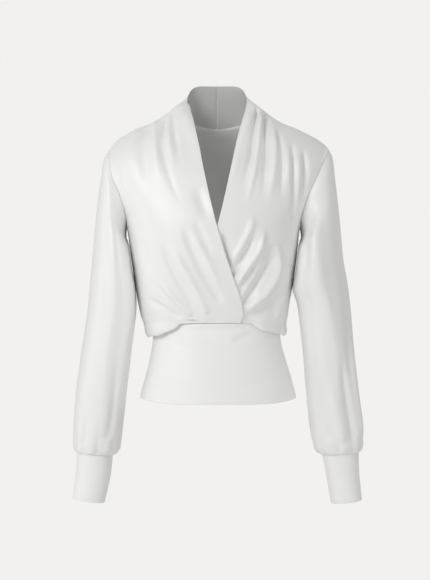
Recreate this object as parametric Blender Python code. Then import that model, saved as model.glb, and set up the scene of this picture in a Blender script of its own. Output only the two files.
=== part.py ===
"""Wrap top with a grown-on shawl collar, full sleeves, long cuffs and a wide waistband.

Metres, +Z up.  The front of the top faces -Y, and the wearer's right is at -X.  The origin
lies between the shoulders at the level of the neck points, where the wearer holds it up.
Every piece is a wall of cloth: a grid of outer points and the same grid moved in.
"""
import math

import bpy
import numpy as np

# ---------------------------------------------------------------- driving sizes
WALL = 0.0013            # crepe of the bodice and sleeves
TURNED_WALL = 0.0010     # the same where it falls over a seam and turns in
BAND_WALL = 0.0024       # doubled cloth of the waistband and cuffs
GAP = 0.0003             # between two pieces at a seam
LAY = 0.0030             # how far the right front lies over the left one
ROUND = 2.35             # exponent of the torso's rounded sections
TUBE_ROUND = 2.15        # exponent of the sleeve's sections
WAIST_Z = -0.378         # waist seam at the centre front
SHOULDER_DEPTH = 0.055   # how far below the shoulder line the chest is reached
TIP_X = {-1: 0.200, 1: 0.206}         # shoulder tips, the wearer's right and left
TIP_Z = {-1: -0.060, 1: -0.057}
NECK_X, NECK_Z = 0.082, 0.0135        # where shoulder seam and neck seam meet
SEAM_Y = 0.004           # the shoulder seam lies a little behind the middle
UNDERARM_Z = -0.205
UNDERARM_TURN = 0.5      # radians of the armhole over which the cloth folds at the underarm

COLUMNS = 20             # cells across a front
CLOTH = (0.90, 0.90, 0.89, 1.0)


def table(columns, *rows):
    """Return {column: values} for a table that is written one row a line."""
    return dict(zip(columns.split(), np.array(rows, float).T))


def smooth_read(tab, key, column, at):
    """Read a table's column at a value of its key, with a smooth monotone curve."""
    x, y = tab[key], tab[column]
    if x[0] > x[-1]:
        x, y = x[::-1], y[::-1]
    step = np.diff(x)
    slope = np.diff(y) / step
    tangent = np.zeros(len(x))
    tangent[0], tangent[-1] = slope[0], slope[-1]
    same_way = slope[:-1] * slope[1:] > 0
    product = 2 * slope[:-1] * slope[1:]
    total = np.where(same_way, slope[:-1] + slope[1:], 1.0)
    tangent[1:-1] = np.where(same_way, product / total, 0.0)
    at = np.clip(at, x[0], x[-1])
    k = np.clip(np.searchsorted(x, at, side="right") - 1, 0, len(x) - 2)
    t = (at - x[k]) / step[k]
    return ((1 + 2 * t) * (1 - t) ** 2 * y[k] + t * (1 - t) ** 2 * step[k] * tangent[k]
            + t * t * (3 - 2 * t) * y[k + 1] + t * t * (t - 1) * step[k] * tangent[k + 1])


def smoothstep(low, high, value):
    t = np.clip((value - low) / (high - low), 0.0, 1.0)
    return t * t * (3 - 2 * t)


def unit(vectors):
    vectors = np.asarray(vectors, float)
    return vectors / np.maximum(np.linalg.norm(vectors, axis=-1, keepdims=True), 1e-12)


# ---------------------------------------------------------------- the torso
# half widths on the wearer's right and left, and depths to the front and back
TORSO = table("z right left front back",
              (-0.384, 0.1320, 0.1265, 0.0920, 0.086),
              (-0.370, 0.1395, 0.1300, 0.0945, 0.091),
              (-0.345, 0.1452, 0.1335, 0.103, 0.097),
              (-0.315, 0.1505, 0.1390, 0.111, 0.101),
              (-0.260, 0.1585, 0.1470, 0.119, 0.106),
              (-0.205, 0.1660, 0.1530, 0.119, 0.108),
              (-0.150, 0.184, 0.176, 0.106, 0.107),
              (-0.100, 0.203, 0.199, 0.090, 0.101),
              (-0.050, 0.214, 0.214, 0.070, 0.088),
              (-0.014, 0.220, 0.220, 0.056, 0.067),
              (0.060, 0.230, 0.230, 0.040, 0.060))

# the line that the shoulders and the sides of the collar make against the light
RIDGE = table("x right left",
              (0.000, 0.070, 0.070), (0.052, 0.052, 0.052), (0.0585, 0.035, 0.035),
              (0.070, 0.022, 0.022), (NECK_X, NECK_Z, NECK_Z), (0.100, 0.003, 0.003),
              (0.119, -0.0085, -0.0085), (0.147, -0.0185, -0.0195), (0.168, -0.0300, -0.0300),
              (0.186, -0.0420, -0.0395), (TIP_X[-1], TIP_Z[-1], -0.0500),
              (TIP_X[1], -0.0690, TIP_Z[1]), (0.240, -0.120, -0.110))

# the waistband: half widths and depths down from the waist seam
BAND = table("down right left front back",
             (0.000, 0.1165, 0.1150, 0.0900, 0.0800),
             (0.030, 0.1190, 0.1185, 0.0920, 0.0830),
             (0.060, 0.1240, 0.1265, 0.0960, 0.0890),
             (0.090, 0.1315, 0.1355, 0.1010, 0.0965),
             (0.115, 0.1385, 0.1425, 0.1050, 0.1020),
             (0.131, 0.1425, 0.1465, 0.1080, 0.1050))


def half_width(side, z):
    return smooth_read(TORSO, "z", "right" if side < 0 else "left", z)


def ridge(x):
    right, left = (smooth_read(RIDGE, "x", name, np.abs(x)) for name in ("right", "left"))
    return np.where(x < 0, right, left)


def torso_y(x, z, facing):
    """Depth of the torso at a place seen from the front; facing is -1 front, +1 back."""
    width = np.where(x < 0, half_width(-1, z), half_width(1, z))
    across = np.clip(np.abs(x) / width, 0, 1) ** ROUND
    depth = smooth_read(TORSO, "z", "front" if facing < 0 else "back", z)
    below = np.clip((ridge(x) - z) / SHOULDER_DEPTH, 0, 1)
    dome = np.sqrt(1 - (1 - below) ** 2)
    return SEAM_Y * (1 - below) + facing * depth * (1 - across) ** (1 / ROUND) * dome


def ring_xy(angle, right, left, front, back, power=ROUND):
    """A rounded section: angle 0 is the centre front, and +90 degrees the wearer's left."""
    s, c = np.sin(angle), np.cos(angle)
    across = np.sign(s) * np.abs(s) ** (2 / power)
    ahead = np.sign(c) * np.abs(c) ** (2 / power)
    return (across * np.where(s < 0, right, left),
            -ahead * np.where(c > 0, front, back))


# ---------------------------------------------------------------- seams
def waist_z(angle):
    """The waist seam lies a little lower at the sides."""
    return WAIST_Z - 0.007 * np.sin(angle) ** 2


def band_ring(angle, down):
    sizes = [smooth_read(BAND, "down", name, down) for name in ("right", "left", "front", "back")]
    return ring_xy(angle, *sizes)


def waist_points(angle):
    """Points of the waist seam on the waistband's outer face, and their outward normals."""
    x, y = band_ring(angle, 0.0)
    turn = 1e-3
    xa, ya = band_ring(angle - turn, 0.0)
    xb, yb = band_ring(angle + turn, 0.0)
    normal = unit(np.stack([yb - ya, xa - xb, np.zeros_like(x)], -1))
    outward = np.sign(np.sum(normal[..., :2] * np.stack([x, y], -1), -1, keepdims=True))
    return np.stack([x, y, waist_z(angle)], -1), normal * outward


# scoop of the armhole towards the neck, down from the tip (0) to the underarm (1)
ARMHOLE = table("down right left back",
                (0.00, 0.000, 0.000, 0.000),
                (0.12, -0.002, 0.001, 0.001),
                (0.35, -0.003, 0.004, 0.003),
                (0.60, 0.003, 0.008, 0.004),
                (0.82, 0.005, 0.007, 0.003),
                (1.00, 0.000, 0.000, 0.000))
ARMHOLE_FRONT, ARMHOLE_BACK = 0.050, 0.053      # how far it reaches ahead and behind


def armhole_frame(side):
    """Shoulder tip, underarm point, and the axis along which the sleeve leaves."""
    tip = np.array([side * TIP_X[side], SEAM_Y, TIP_Z[side]])
    pit = np.array([side * half_width(side, UNDERARM_Z), 0.0, UNDERARM_Z])
    down = unit(pit - tip)
    axis = unit(np.array([-down[2] * side, 0.0, down[0] * side]))
    return tip, pit, axis


def armhole(side, angle):
    """The armhole seam: angle 0 at the tip, 180 degrees at the underarm, over the front."""
    tip, pit, _ = armhole_frame(side)
    low = (1 - np.cos(angle)) / 2
    ahead = np.sin(angle) >= 0
    ahead_depth = np.sqrt(np.clip(1 - (2 * low - 1) ** 2, 0, 1))
    depth = np.where(ahead, ARMHOLE_FRONT, ARMHOLE_BACK) * ahead_depth ** (2 / ROUND)
    front_scoop = smooth_read(ARMHOLE, "down", "right" if side < 0 else "left", low)
    scoop = np.where(ahead, front_scoop, smooth_read(ARMHOLE, "down", "back", low))
    points = tip + low[..., None] * (pit - tip)
    points[..., 1] -= np.where(ahead, 1, -1) * depth
    return points - scoop[..., None] * np.array([side, 0, 0])


def armhole_normals(side, angle, lean):
    """Normals at the armhole seam, away from the middle of the hole.  Under the arm the
    cloth folds over sharply, so there they lean out of the seam's plane."""
    tip, pit, axis = armhole_frame(side)
    away = armhole(side, angle) - (tip + pit) / 2
    away -= (away @ axis)[..., None] * axis
    low = np.exp(-((np.abs(angle) - math.pi) / UNDERARM_TURN) ** 2)
    return unit(unit(away) + (lean * side * low)[..., None] * np.array([1, 0, 0]))


def shoulder(side, along):
    """The shoulder seam from the tip (0) to the neck point (1), with its upward normals."""
    x = TIP_X[side] + along * (NECK_X - TIP_X[side])
    z = ridge(side * x)
    rise = (ridge(side * (x - 1e-3)) - ridge(side * (x + 1e-3))) / 2e-3
    normal = unit(np.stack([side * rise, np.zeros_like(x), np.ones_like(x)], -1))
    return np.stack([side * x, np.full_like(x, SEAM_Y), z], -1), normal


NECK = table("along x y z",
             (0.0, NECK_X, SEAM_Y, NECK_Z),
             (0.2, 0.0790, 0.0250, 0.0110),
             (0.4, 0.0680, 0.0440, 0.0040),
             (0.6, 0.0490, 0.0570, -0.0055),
             (0.8, 0.0260, 0.0648, -0.0118),
             (1.0, 0.0000, 0.0665, -0.0138))


def neck(side, along):
    """The back neck seam from the neck point (0) to the centre back (1), with normals."""
    x, y, z = (smooth_read(NECK, "along", name, along) for name in "xyz")
    away = unit(np.stack([side * x, 1.5 * (y - 0.01), np.zeros_like(x)], -1))
    normal = unit(away + np.array([0, 0, 0.6]))
    return np.stack([side * x, y, z], -1), normal


# ---------------------------------------------------------------- folds
# Each fold runs from (x0, z0) past (x1, z1) to (x2, z2) as seen from the front.  A trough
# has a negative height.
FOLDS_RIGHT = table("x0 z0 x1 z1 x2 z2 height width",
                    (-0.112, -0.006, -0.104, -0.066, -0.086, -0.128, -0.0042, 0.0090),
                    (-0.084, 0.006, -0.075, -0.062, -0.058, -0.118, -0.0040, 0.0085),
                    (-0.099, -0.002, -0.090, -0.064, -0.072, -0.126, 0.0044, 0.0090),
                    (-0.126, -0.014, -0.119, -0.070, -0.102, -0.126, 0.0036, 0.0090),
                    (-0.058, -0.214, -0.034, -0.268, -0.006, -0.322, -0.0024, 0.0100),
                    (-0.096, -0.230, -0.076, -0.292, -0.036, -0.352, -0.0034, 0.0100),
                    (-0.125, -0.335, -0.092, -0.352, -0.056, -0.366, -0.0030, 0.0090),
                    (-0.074, -0.240, -0.048, -0.305, -0.020, -0.345, 0.0034, 0.0100),
                    (-0.118, -0.268, -0.086, -0.325, -0.046, -0.360, 0.0036, 0.0100))

FOLDS_LEFT = table("x0 z0 x1 z1 x2 z2 height width",
                   (0.064, -0.012, 0.060, -0.060, 0.054, -0.104, -0.0040, 0.0085),
                   (0.088, 0.004, 0.084, -0.060, 0.076, -0.122, -0.0044, 0.0090),
                   (0.116, -0.010, 0.112, -0.070, 0.104, -0.134, -0.0042, 0.0090),
                   (0.074, 0.006, 0.072, -0.060, 0.065, -0.116, 0.0036, 0.0085),
                   (0.102, -0.006, 0.098, -0.070, 0.090, -0.130, 0.0038, 0.0090),
                   (0.036, -0.302, 0.066, -0.268, 0.090, -0.222, 0.0040, 0.0095),
                   (0.050, -0.347, 0.085, -0.318, 0.120, -0.284, 0.0040, 0.0095),
                   (0.044, -0.328, 0.076, -0.292, 0.106, -0.250, -0.0036, 0.0090),
                   (0.030, -0.276, 0.056, -0.238, 0.078, -0.188, -0.0030, 0.0095),
                   (0.064, -0.364, 0.094, -0.346, 0.124, -0.320, -0.0030, 0.0085))

FOLDS_BACK = table("x0 z0 x1 z1 x2 z2 height width",
                   (-0.050, -0.362, -0.056, -0.310, -0.050, -0.235, -0.0036, 0.0110),
                   (-0.012, -0.362, -0.008, -0.320, -0.014, -0.265, -0.0032, 0.0110),
                   (0.030, -0.362, 0.034, -0.300, 0.030, -0.225, -0.0036, 0.0110),
                   (0.072, -0.360, 0.082, -0.315, 0.090, -0.250, -0.0034, 0.0110),
                   (-0.092, -0.360, -0.102, -0.320, -0.112, -0.262, -0.0034, 0.0110),
                   (0.008, -0.362, 0.012, -0.300, 0.008, -0.250, 0.0034, 0.0110))


# Sleeve folds lie on the unrolled sleeve: metres round it from its outer line towards the
# front, and metres down it from the shoulder.
SLEEVE_SPAN = 0.340      # once round the unrolled sleeve
SLEEVE_DROP = 0.068      # down the unrolled sleeve for each section
FOLDS_SLEEVE_RIGHT = table("x0 z0 x1 z1 x2 z2 height width",
                           (0.030, -0.590, 0.036, -0.430, 0.044, -0.290, 0.0030, 0.0130),
                           (0.060, -0.590, 0.062, -0.450, 0.068, -0.330, -0.0032, 0.0125),
                           (0.090, -0.590, 0.096, -0.420, 0.090, -0.250, 0.0034, 0.0135),
                           (0.116, -0.590, 0.116, -0.400, 0.106, -0.190, -0.0036, 0.0130),
                           (0.092, -0.050, 0.100, -0.120, 0.110, -0.220, -0.0030, 0.0135),
                           (0.000, -0.590, 0.006, -0.440, 0.014, -0.320, -0.0026, 0.0130),
                           (-0.040, -0.590, -0.036, -0.430, -0.044, -0.290, 0.0030, 0.0130),
                           (-0.070, -0.590, -0.080, -0.400, -0.082, -0.230, -0.0032, 0.0135),
                           (-0.104, -0.590, -0.112, -0.420, -0.108, -0.250, 0.0034, 0.0130),
                           (-0.132, -0.590, -0.136, -0.440, -0.130, -0.300, -0.0030, 0.0130))

FOLDS_SLEEVE_LEFT = table("x0 z0 x1 z1 x2 z2 height width",
                          (0.028, -0.590, 0.032, -0.420, 0.040, -0.270, 0.0034, 0.0130),
                          (0.058, -0.590, 0.064, -0.430, 0.060, -0.270, -0.0038, 0.0125),
                          (0.086, -0.590, 0.090, -0.440, 0.086, -0.300, 0.0034, 0.0125),
                          (0.112, -0.590, 0.116, -0.400, 0.104, -0.190, -0.0036, 0.0130),
                          (0.060, -0.050, 0.070, -0.140, 0.082, -0.240, 0.0030, 0.0135),
                          (0.000, -0.590, 0.002, -0.460, 0.008, -0.340, -0.0028, 0.0130),
                          (-0.036, -0.590, -0.040, -0.430, -0.046, -0.270, 0.0030, 0.0130),
                          (-0.068, -0.590, -0.078, -0.400, -0.080, -0.240, -0.0034, 0.0135),
                          (-0.102, -0.590, -0.110, -0.420, -0.106, -0.250, 0.0032, 0.0130),
                          (-0.132, -0.590, -0.134, -0.430, -0.128, -0.300, -0.0030, 0.0130))


def fold_height(folds, x, z):
    """Height of the folds at places seen from the front; each fades at both ends."""
    total = np.zeros_like(x)
    steps = np.linspace(0, 1, 13)
    for k in range(len(folds["x0"])):
        f = {name: values[k] for name, values in folds.items()}
        cx = (1 - steps) ** 2 * f["x0"] + 2 * steps * (1 - steps) * f["x1"] + steps ** 2 * f["x2"]
        cz = (1 - steps) ** 2 * f["z0"] + 2 * steps * (1 - steps) * f["z1"] + steps ** 2 * f["z2"]
        best = np.full(x.shape, np.inf)
        place = np.zeros_like(x)
        for i in range(len(steps) - 1):
            dx, dz = cx[i + 1] - cx[i], cz[i + 1] - cz[i]
            t = np.clip(((x - cx[i]) * dx + (z - cz[i]) * dz) / (dx * dx + dz * dz), 0, 1)
            away = (x - cx[i] - t * dx) ** 2 + (z - cz[i] - t * dz) ** 2
            place = np.where(away < best, (i + t) / (len(steps) - 1), place)
            best = np.minimum(best, away)
        fade = smoothstep(0, 0.12, place) * smoothstep(1.0, 0.6, place)
        total += f["height"] * np.exp(-best / f["width"] ** 2) * fade
    return total


# ---------------------------------------------------------------- grids and walls
TURNED_ROWS = 5


def grid_normals(points, closed=False):
    """Unit normals of a grid of points, rows first, from its central differences."""
    if closed:
        across = np.roll(points, -1, 1) - np.roll(points, 1, 1)
    else:
        across = np.gradient(points, axis=1)
    along = np.gradient(points, axis=0)
    return unit(np.cross(across, along))


def even_out(points, at, to_seam, passes=4):
    """Soften the rows near the underarm, where the torso widens towards the armhole.
    to_seam counts the columns to the nearest sewn side, which stays."""
    rows = smoothstep(1.0, 2.2, at) * smoothstep(5.2, 4.0, at)
    share = rows[1:-1, None, None] * smoothstep(0, 4, to_seam)[None, :, None]
    for _ in range(passes):
        middle = (points[:-2] + 2 * points[1:-1] + points[2:]) / 4
        points = points.copy()
        points[1:-1] += (middle - points[1:-1]) * share
    return points


def add_wall(name, outer, inner, closed, colour=CLOTH):
    """A closed body from two grids of points: the outer face, the inner face and the rims."""
    rows, columns = outer.shape[:2]
    count = rows * columns
    vertices = np.concatenate([outer.reshape(-1, 3), inner.reshape(-1, 3)])

    def index(row, column, layer):
        return layer * count + row * columns + column % columns

    faces = []
    last = columns if closed else columns - 1
    for row in range(rows - 1):
        for column in range(last):
            for layer in (0, 1):
                a, b = index(row, column, layer), index(row, column + 1, layer)
                c, d = index(row + 1, column + 1, layer), index(row + 1, column, layer)
                turn = 1 if layer == 0 else -1
                faces.append([a, b, c][::turn])
                faces.append([a, c, d][::turn])
    for column in range(last):
        for row, turn in ((0, 1), (rows - 1, -1)):
            face = [index(row, column, 0), index(row, column, 1),
                    index(row, column + 1, 1), index(row, column + 1, 0)]
            faces.append(face[::turn])
    if not closed:
        for row in range(rows - 1):
            for column, turn in ((0, -1), (columns - 1, 1)):
                face = [index(row, column, 0), index(row, column, 1),
                        index(row + 1, column, 1), index(row + 1, column, 0)]
                faces.append(face[::turn])
    mesh = bpy.data.meshes.new(name)
    mesh.from_pydata(vertices.tolist(), [], faces)
    volume = signed_volume(vertices, faces)
    if volume < 0:
        mesh.flip_normals()
    mesh.shade_smooth()
    mesh.set_sharp_from_angle(angle=math.radians(50))
    material = bpy.data.materials.new(name + "_cloth")
    material.use_nodes = True
    shader = material.node_tree.nodes["Principled BSDF"]
    shader.inputs["Base Color"].default_value = colour
    shader.inputs["Roughness"].default_value = 0.55
    shader.inputs["Metallic"].default_value = 0.0
    mesh.materials.append(material)
    thing = bpy.data.objects.new(name, mesh)
    COLLECTION.objects.link(thing)
    return thing


def wall_rows(rows, first):
    """The wall's thickness by row: thinner where the first or the last rows turn in."""
    turned = np.arange(rows) < TURNED_ROWS
    if not first:
        turned = turned[::-1]
    return np.where(turned, TURNED_WALL, WALL)[:, None, None]


def signed_volume(vertices, faces):
    total = 0.0
    for face in faces:
        corners = [vertices[i] for i in face]
        for b, c in zip(corners[1:], corners[2:]):
            total += np.dot(corners[0], np.cross(b, c))
    return total / 6


# ---------------------------------------------------------------- the fronts
# Stations from the waist to the centre back of the collar: the free edge at (x, y, z) for
# the wearer's left front, the arch of the collar between its edge and its seam, and the
# number of grid rows up to the next station.
STATIONS = table("at x y z arch_x arch_y arch_z rows",
                 (0, -0.0515, -0.100, -0.3660, 0.000, 0.000, 0.000, 2),
                 (1, -0.0480, -0.107, -0.3500, 0.000, 0.000, 0.000, 4),
                 (2, -0.0234, -0.121, -0.2818, 0.000, 0.000, 0.000, 4),
                 (3, 0.0010, -0.115, -0.2017, 0.000, 0.000, 0.000, 4),
                 (4, 0.0115, -0.105, -0.1590, 0.000, 0.000, 0.000, 4),
                 (5, 0.0208, -0.090, -0.1162, 0.000, 0.000, 0.000, 4),
                 (6, 0.0275, -0.077, -0.0850, 0.000, -0.018, 0.006, 2),
                 (7, 0.0315, -0.069, -0.0665, 0.000, -0.016, 0.008, 2),
                 (8, 0.0350, -0.0615, -0.0501, 0.000, -0.014, 0.010, 2),
                 (9, 0.0435, -0.043, -0.0173, 0.001, -0.010, 0.012, 1),
                 (10, 0.0515, -0.015, 0.0120, 0.0045, -0.004, 0.0095, 2),
                 (11, 0.0555, 0.018, 0.0354, 0.0045, 0.000, 0.0080, 3),
                 (12, 0.0490, 0.047, 0.0575, 0.0035, 0.003, 0.0015, 2),
                 (12.6, 0.0300, 0.0612, 0.0662, 0.0005, 0.002, 0.0000, 2),
                 (13, 0.0000, 0.067, 0.0667, 0.0000, 0.002, 0.0000, 0))
SIDE_TOP, TIP_AT, NECK_AT, BACK_AT = 3, 6, 10, 13
SIDE_Z = table("at z", (0, -0.3760), (1, -0.345), (2, -0.275), (3, UNDERARM_Z))

# where one shape of a front gives way to the next
EDGE_LEAVES = (5.0, 7.5)            # stations: the free edge leaves the torso's round
ARCH_STARTS = (7.0, 9.6)            # stations: the rows start to arch over the collar
UPPER_ENDS = (9.0, 6.0)             # stations: the upper front comes down to the collar
UPPER_SIDE = (1.0, 0.55)            # shares of a row: it comes down to the side seam
TIGHT_HEIGHT = (0.060, 0.012)       # above the waist seam: tight cloth straightens
CROSSED = (-0.190, -0.215)          # heights: the fronts lie over each other
COVERING = (-0.012, 0.0)            # across the crossing edge: no troughs in the upper front
COVERED = (0.014, 0.002)            # across the crossing edge: no folds in the lower front

# The bodice falls over the waist seam and turns in to it.  Rows from the seam outward: how
# far down as a share of the fall, how far out at no fall and at a full one, and where the
# same row lies where the cloth runs straight up from the seam.
FALL = table("down out swing plain_out plain_up",
             (0.00, -0.0009, 0.0000, -0.0009, 0.0006),
             (0.00, 0.0008, 0.0006, 0.0007, 0.0005),
             (0.55, 0.0012, 0.0030, 0.0016, 0.0022),
             (1.00, 0.0018, 0.0072, 0.0024, 0.0040),
             (0.70, 0.0022, 0.0120, 0.0031, 0.0060))
FULL_FALL = 0.020
PLAIN_FALL = 0.0065      # under this fall the cloth starts to run straight up
FALL_LIFT = 0.0004
TIGHT_SLOPE = 0.30       # how fast the tight cloth leans out above the seam
OVER_RIM = 0.0006        # the upper front's lower rim starts this much further out
# how far the bodice falls past the seam, by the angle from the centre front
FALL_FRONT = table("angle right left",
                   (0.00, 0.0004, 0.0004), (0.40, 0.0008, 0.0010), (0.48, 0.0018, 0.0026),
                   (0.56, 0.0050, 0.0055), (0.73, 0.0125, 0.0118), (1.03, 0.0190, 0.0140),
                   (1.58, 0.0200, 0.0170))
FALL_BACK = table("angle right left",
                  (1.56, 0.020, 0.017), (2.1, 0.013, 0.013), (2.7, 0.009, 0.009),
                  (3.15, 0.008, 0.008))


def fall(angle):
    turn = np.abs(angle)
    front = np.where(angle < 0, smooth_read(FALL_FRONT, "angle", "right", turn),
                     smooth_read(FALL_FRONT, "angle", "left", turn))
    back = np.where(angle < 0, smooth_read(FALL_BACK, "angle", "right", turn),
                    smooth_read(FALL_BACK, "angle", "left", turn))
    return np.where(turn < math.pi / 2, front, back)


def fall_rows(angle, out):
    """Rows of the bodice that hang over the waist seam, from the seam outward."""
    seam, normal = waist_points(angle)
    drop = fall(angle)
    rows = []
    loose = smoothstep(0, PLAIN_FALL, drop)
    for k, down in enumerate(FALL["down"]):
        away = FALL["out"][k] + FALL["swing"][k] * drop / FULL_FALL
        away = loose * away + (1 - loose) * FALL["plain_out"][k] + out
        if k == 0:
            away = away + OVER_RIM * out / LAY
        up = loose * (FALL_LIFT - down * drop) + (1 - loose) * FALL["plain_up"][k]
        place = seam + normal * away[..., None]
        place[..., 2] += up
        rows.append(place)
    return np.array(rows)


# how much a row's points crowd towards its sewn end, where the cloth turns away
CROWD = table("at share", (0, 0.93), (2.6, 0.90), (3.6, 0.45), (5.2, 0.45), (6.2, 0.80),
              (9, 0.80), (13, 0.80))


def station_rows():
    """The place of every grid row along the stations."""
    at = []
    for start, end, rows in zip(STATIONS["at"], STATIONS["at"][1:], STATIONS["rows"]):
        at.extend(np.linspace(start, end, int(rows), endpoint=False))
    return np.array(at + [float(BACK_AT)])


def outer_line(side, at):
    """The sewn boundary of a front: side seam, armhole, shoulder seam and neck seam."""
    points, normals = np.zeros((len(at), 3)), np.zeros((len(at), 3))
    shift = np.zeros((len(at), 3))
    for k, v in enumerate(at):
        one = np.array([v])
        if v < SIDE_TOP:
            z = smooth_read(SIDE_Z, "at", "z", one)
            points[k] = (side * half_width(side, z)[0], 0, z[0])
            normals[k] = (side, 0, 0)
            shift[k] = (0, -GAP / 2, 0)
        elif v < TIP_AT:
            angle = math.pi * (TIP_AT - one) / (TIP_AT - SIDE_TOP)
            points[k] = armhole(side, angle)[0]
            normals[k] = armhole_normals(side, angle, 1)[0]
            shift[k] = (0, -GAP / 2, 0)
        elif v < NECK_AT:
            points[k], normals[k] = (each[0] for each in
                                     shoulder(side, (one - TIP_AT) / (NECK_AT - TIP_AT)))
            shift[k] = (0, -GAP / 2, 0)
        else:
            points[k], normals[k] = (each[0] for each in
                                     neck(side, (one - NECK_AT) / (BACK_AT - NECK_AT)))
            shift[k] = normals[k] * 0 + np.array([0, -GAP / 4, GAP / 2])
    return points + shift, normals


def wrap_edge_x(z):
    """Where the right front's edge crosses the left front, seen from the front."""
    low = {name: values[:4] for name, values in STATIONS.items()}
    return smooth_read(low, "z", "x", z)


def ring_angle(points):
    """The section angle of points on the front of the torso."""
    x, z = points[:, 0], points[:, 2]
    width = np.where(x < 0, half_width(-1, z), half_width(1, z))
    across = np.clip(np.abs(x) / width, 0, 1) ** ROUND
    return np.sign(x) * np.arctan2(np.sqrt(across), np.sqrt(1 - across))


def free_edge(side, at):
    """The free edge of a front, in the order of the rows."""
    x, y, z = (smooth_read(STATIONS, "at", name, at) for name in "xyz")
    return np.stack([side * x, y, z], -1)


def front_grid(side, over, folds):
    """Outer points and inward normals of one front, waist first."""
    at = station_rows()
    u = np.linspace(0, 1, COLUMNS + 1)
    outer, seam_normals = outer_line(side, at)
    edge = free_edge(side, at)
    edge[-1, 0] = side * GAP / 2
    outer[-1, 0] = side * GAP / 2

    # seen from the front, a row is a straight line whose points crowd towards the seam
    round_end = smooth_read(CROWD, "at", "share", at)[:, None]
    share = (u * (1 - round_end) + np.sin(u * math.pi / 2) * round_end)[..., None]
    flat = edge[:, None] * (1 - share) + outer[:, None] * share
    body = flat.copy()
    body[..., 1] = torso_y(flat[..., 0], flat[..., 2], -1)
    edge_miss = (edge[:, 1] - body[:, 0, 1])[:, None]
    seam_miss = (outer[:, 1] - body[:, -1, 1])[:, None]
    keep = smoothstep(*EDGE_LEAVES, at)[:, None]
    body[..., 1] += edge_miss * keep * (1 - u) ** 2 + seam_miss * u ** 4

    # at the neck a row arches from the free edge to the seam
    even = u[None, :, None]
    arch = np.stack([side * smooth_read(STATIONS, "at", "arch_x", at),
                     smooth_read(STATIONS, "at", "arch_y", at),
                     smooth_read(STATIONS, "at", "arch_z", at)], -1)[:, None]
    rolled = edge[:, None] * (1 - even) + outer[:, None] * even + 4 * even * (1 - even) * arch
    blend = smoothstep(*ARCH_STARTS, at)[:, None, None]
    points = body * (1 - blend) + rolled * blend

    points = even_out(points, at, COLUMNS * (1 - u))

    # where the bodice is pulled tight it rises straight from the waist seam
    for k in np.flatnonzero(at < SIDE_TOP):
        angle = ring_angle(points[k])
        seam, away = waist_points(angle)
        height = points[k, :, 2] - seam[:, 2]
        tight = seam + away * (FALL["plain_out"][-1] + TIGHT_SLOPE * height)[:, None]
        tight[:, 2] = points[k, :, 2]
        pull = (1 - smoothstep(0, PLAIN_FALL, fall(angle))) * smoothstep(*TIGHT_HEIGHT, height)
        points[k] += (tight - points[k]) * pull[:, None]
    base = points
    normals = grid_normals(points)
    if np.sum(normals[:10, :, 1]) > 0:
        normals = -normals
    lift = fold_height(folds, points[..., 0], points[..., 2])
    lift *= smoothstep(0.0, 0.08, u) * smoothstep(1.0, 0.86, u)
    lift *= smoothstep(10.0, 8.5, at)[:, None]
    beside = np.abs(wrap_edge_x(points[..., 2]))
    below = smoothstep(*CROSSED, points[..., 2])
    if over:
        covering = smoothstep(*COVERING, points[..., 0] + beside) * below
        lift = np.where(lift < 0, lift * (1 - covering), lift)
        lift = lift + LAY * smoothstep(*UPPER_SIDE, u) * smoothstep(*UPPER_ENDS, at)[:, None]
    else:
        covered = smoothstep(*COVERED, points[..., 0] - beside) * below
        lift = lift * (1 - covered)
    points = points + normals * lift[..., None]
    normals = grid_normals(points) * (1 if np.sum(grid_normals(points)[:10, :, 1]) < 0 else -1)
    normals[:, -1] = seam_normals
    normals[-1] = unit(normals[-1] * np.array([0, 1, 1]))

    # below, the cloth falls over the waist seam and turns in to it
    angle = ring_angle(base[0])
    angle[-1] = side * math.pi / 2
    out = (LAY * smoothstep(*UPPER_SIDE, u)) if over else np.zeros_like(u)
    hang = fall_rows(angle, out)
    hang[:, -1, 1] -= GAP / 2
    joined = np.concatenate([hang, points])
    joined_normals = grid_normals(joined)
    if np.sum(joined_normals[10:20, :, 1]) > 0:
        joined_normals = -joined_normals
    joined_normals[len(hang):] = normals
    joined_normals[:len(hang), -1] = unit(joined_normals[:len(hang), -1] * np.array([1, 0, 1]))
    return joined, joined_normals


def add_front(name, side, over, folds):
    outer, normals = front_grid(side, over, folds)
    add_wall(name, outer, outer - wall_rows(len(outer), True) * normals, False)


# ---------------------------------------------------------------- the back
def back_top():
    """The back's top edge, with a point for each row of the fronts: tip, neck, tip."""
    at = station_rows()
    half = at[at >= TIP_AT]
    points, normals = [], []
    for side, line in ((-1, half), (1, half[-2::-1])):
        for v in line:
            one = np.array([v])
            if v < NECK_AT:
                place, normal = shoulder(side, (one - TIP_AT) / (NECK_AT - TIP_AT))
                shift = np.array([0, GAP / 2, 0])
            else:
                place, normal = neck(side, (one - NECK_AT) / (BACK_AT - NECK_AT))
                shift = np.array([0, GAP / 4, -GAP / 2])
            points.append(place[0] + shift)
            normals.append(normal[0])
    return np.array(points), np.array(normals)


def back_side(side, rows):
    """The back's side boundary: side seam up to the underarm, then the armhole."""
    points, normals = np.zeros((len(rows), 3)), np.zeros((len(rows), 3))
    for k, v in enumerate(rows):
        one = np.array([v])
        if v < SIDE_TOP:
            z = smooth_read(SIDE_Z, "at", "z", one)
            points[k] = (side * half_width(side, z)[0], GAP / 2, z[0])
            normals[k] = (side, 0, 0)
        else:
            angle = -math.pi * (TIP_AT - one) / (TIP_AT - SIDE_TOP)
            points[k] = armhole(side, angle)[0] + np.array([0, GAP / 2, 0])
            normals[k] = armhole_normals(side, angle, 1)[0]
    return points, normals


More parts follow.
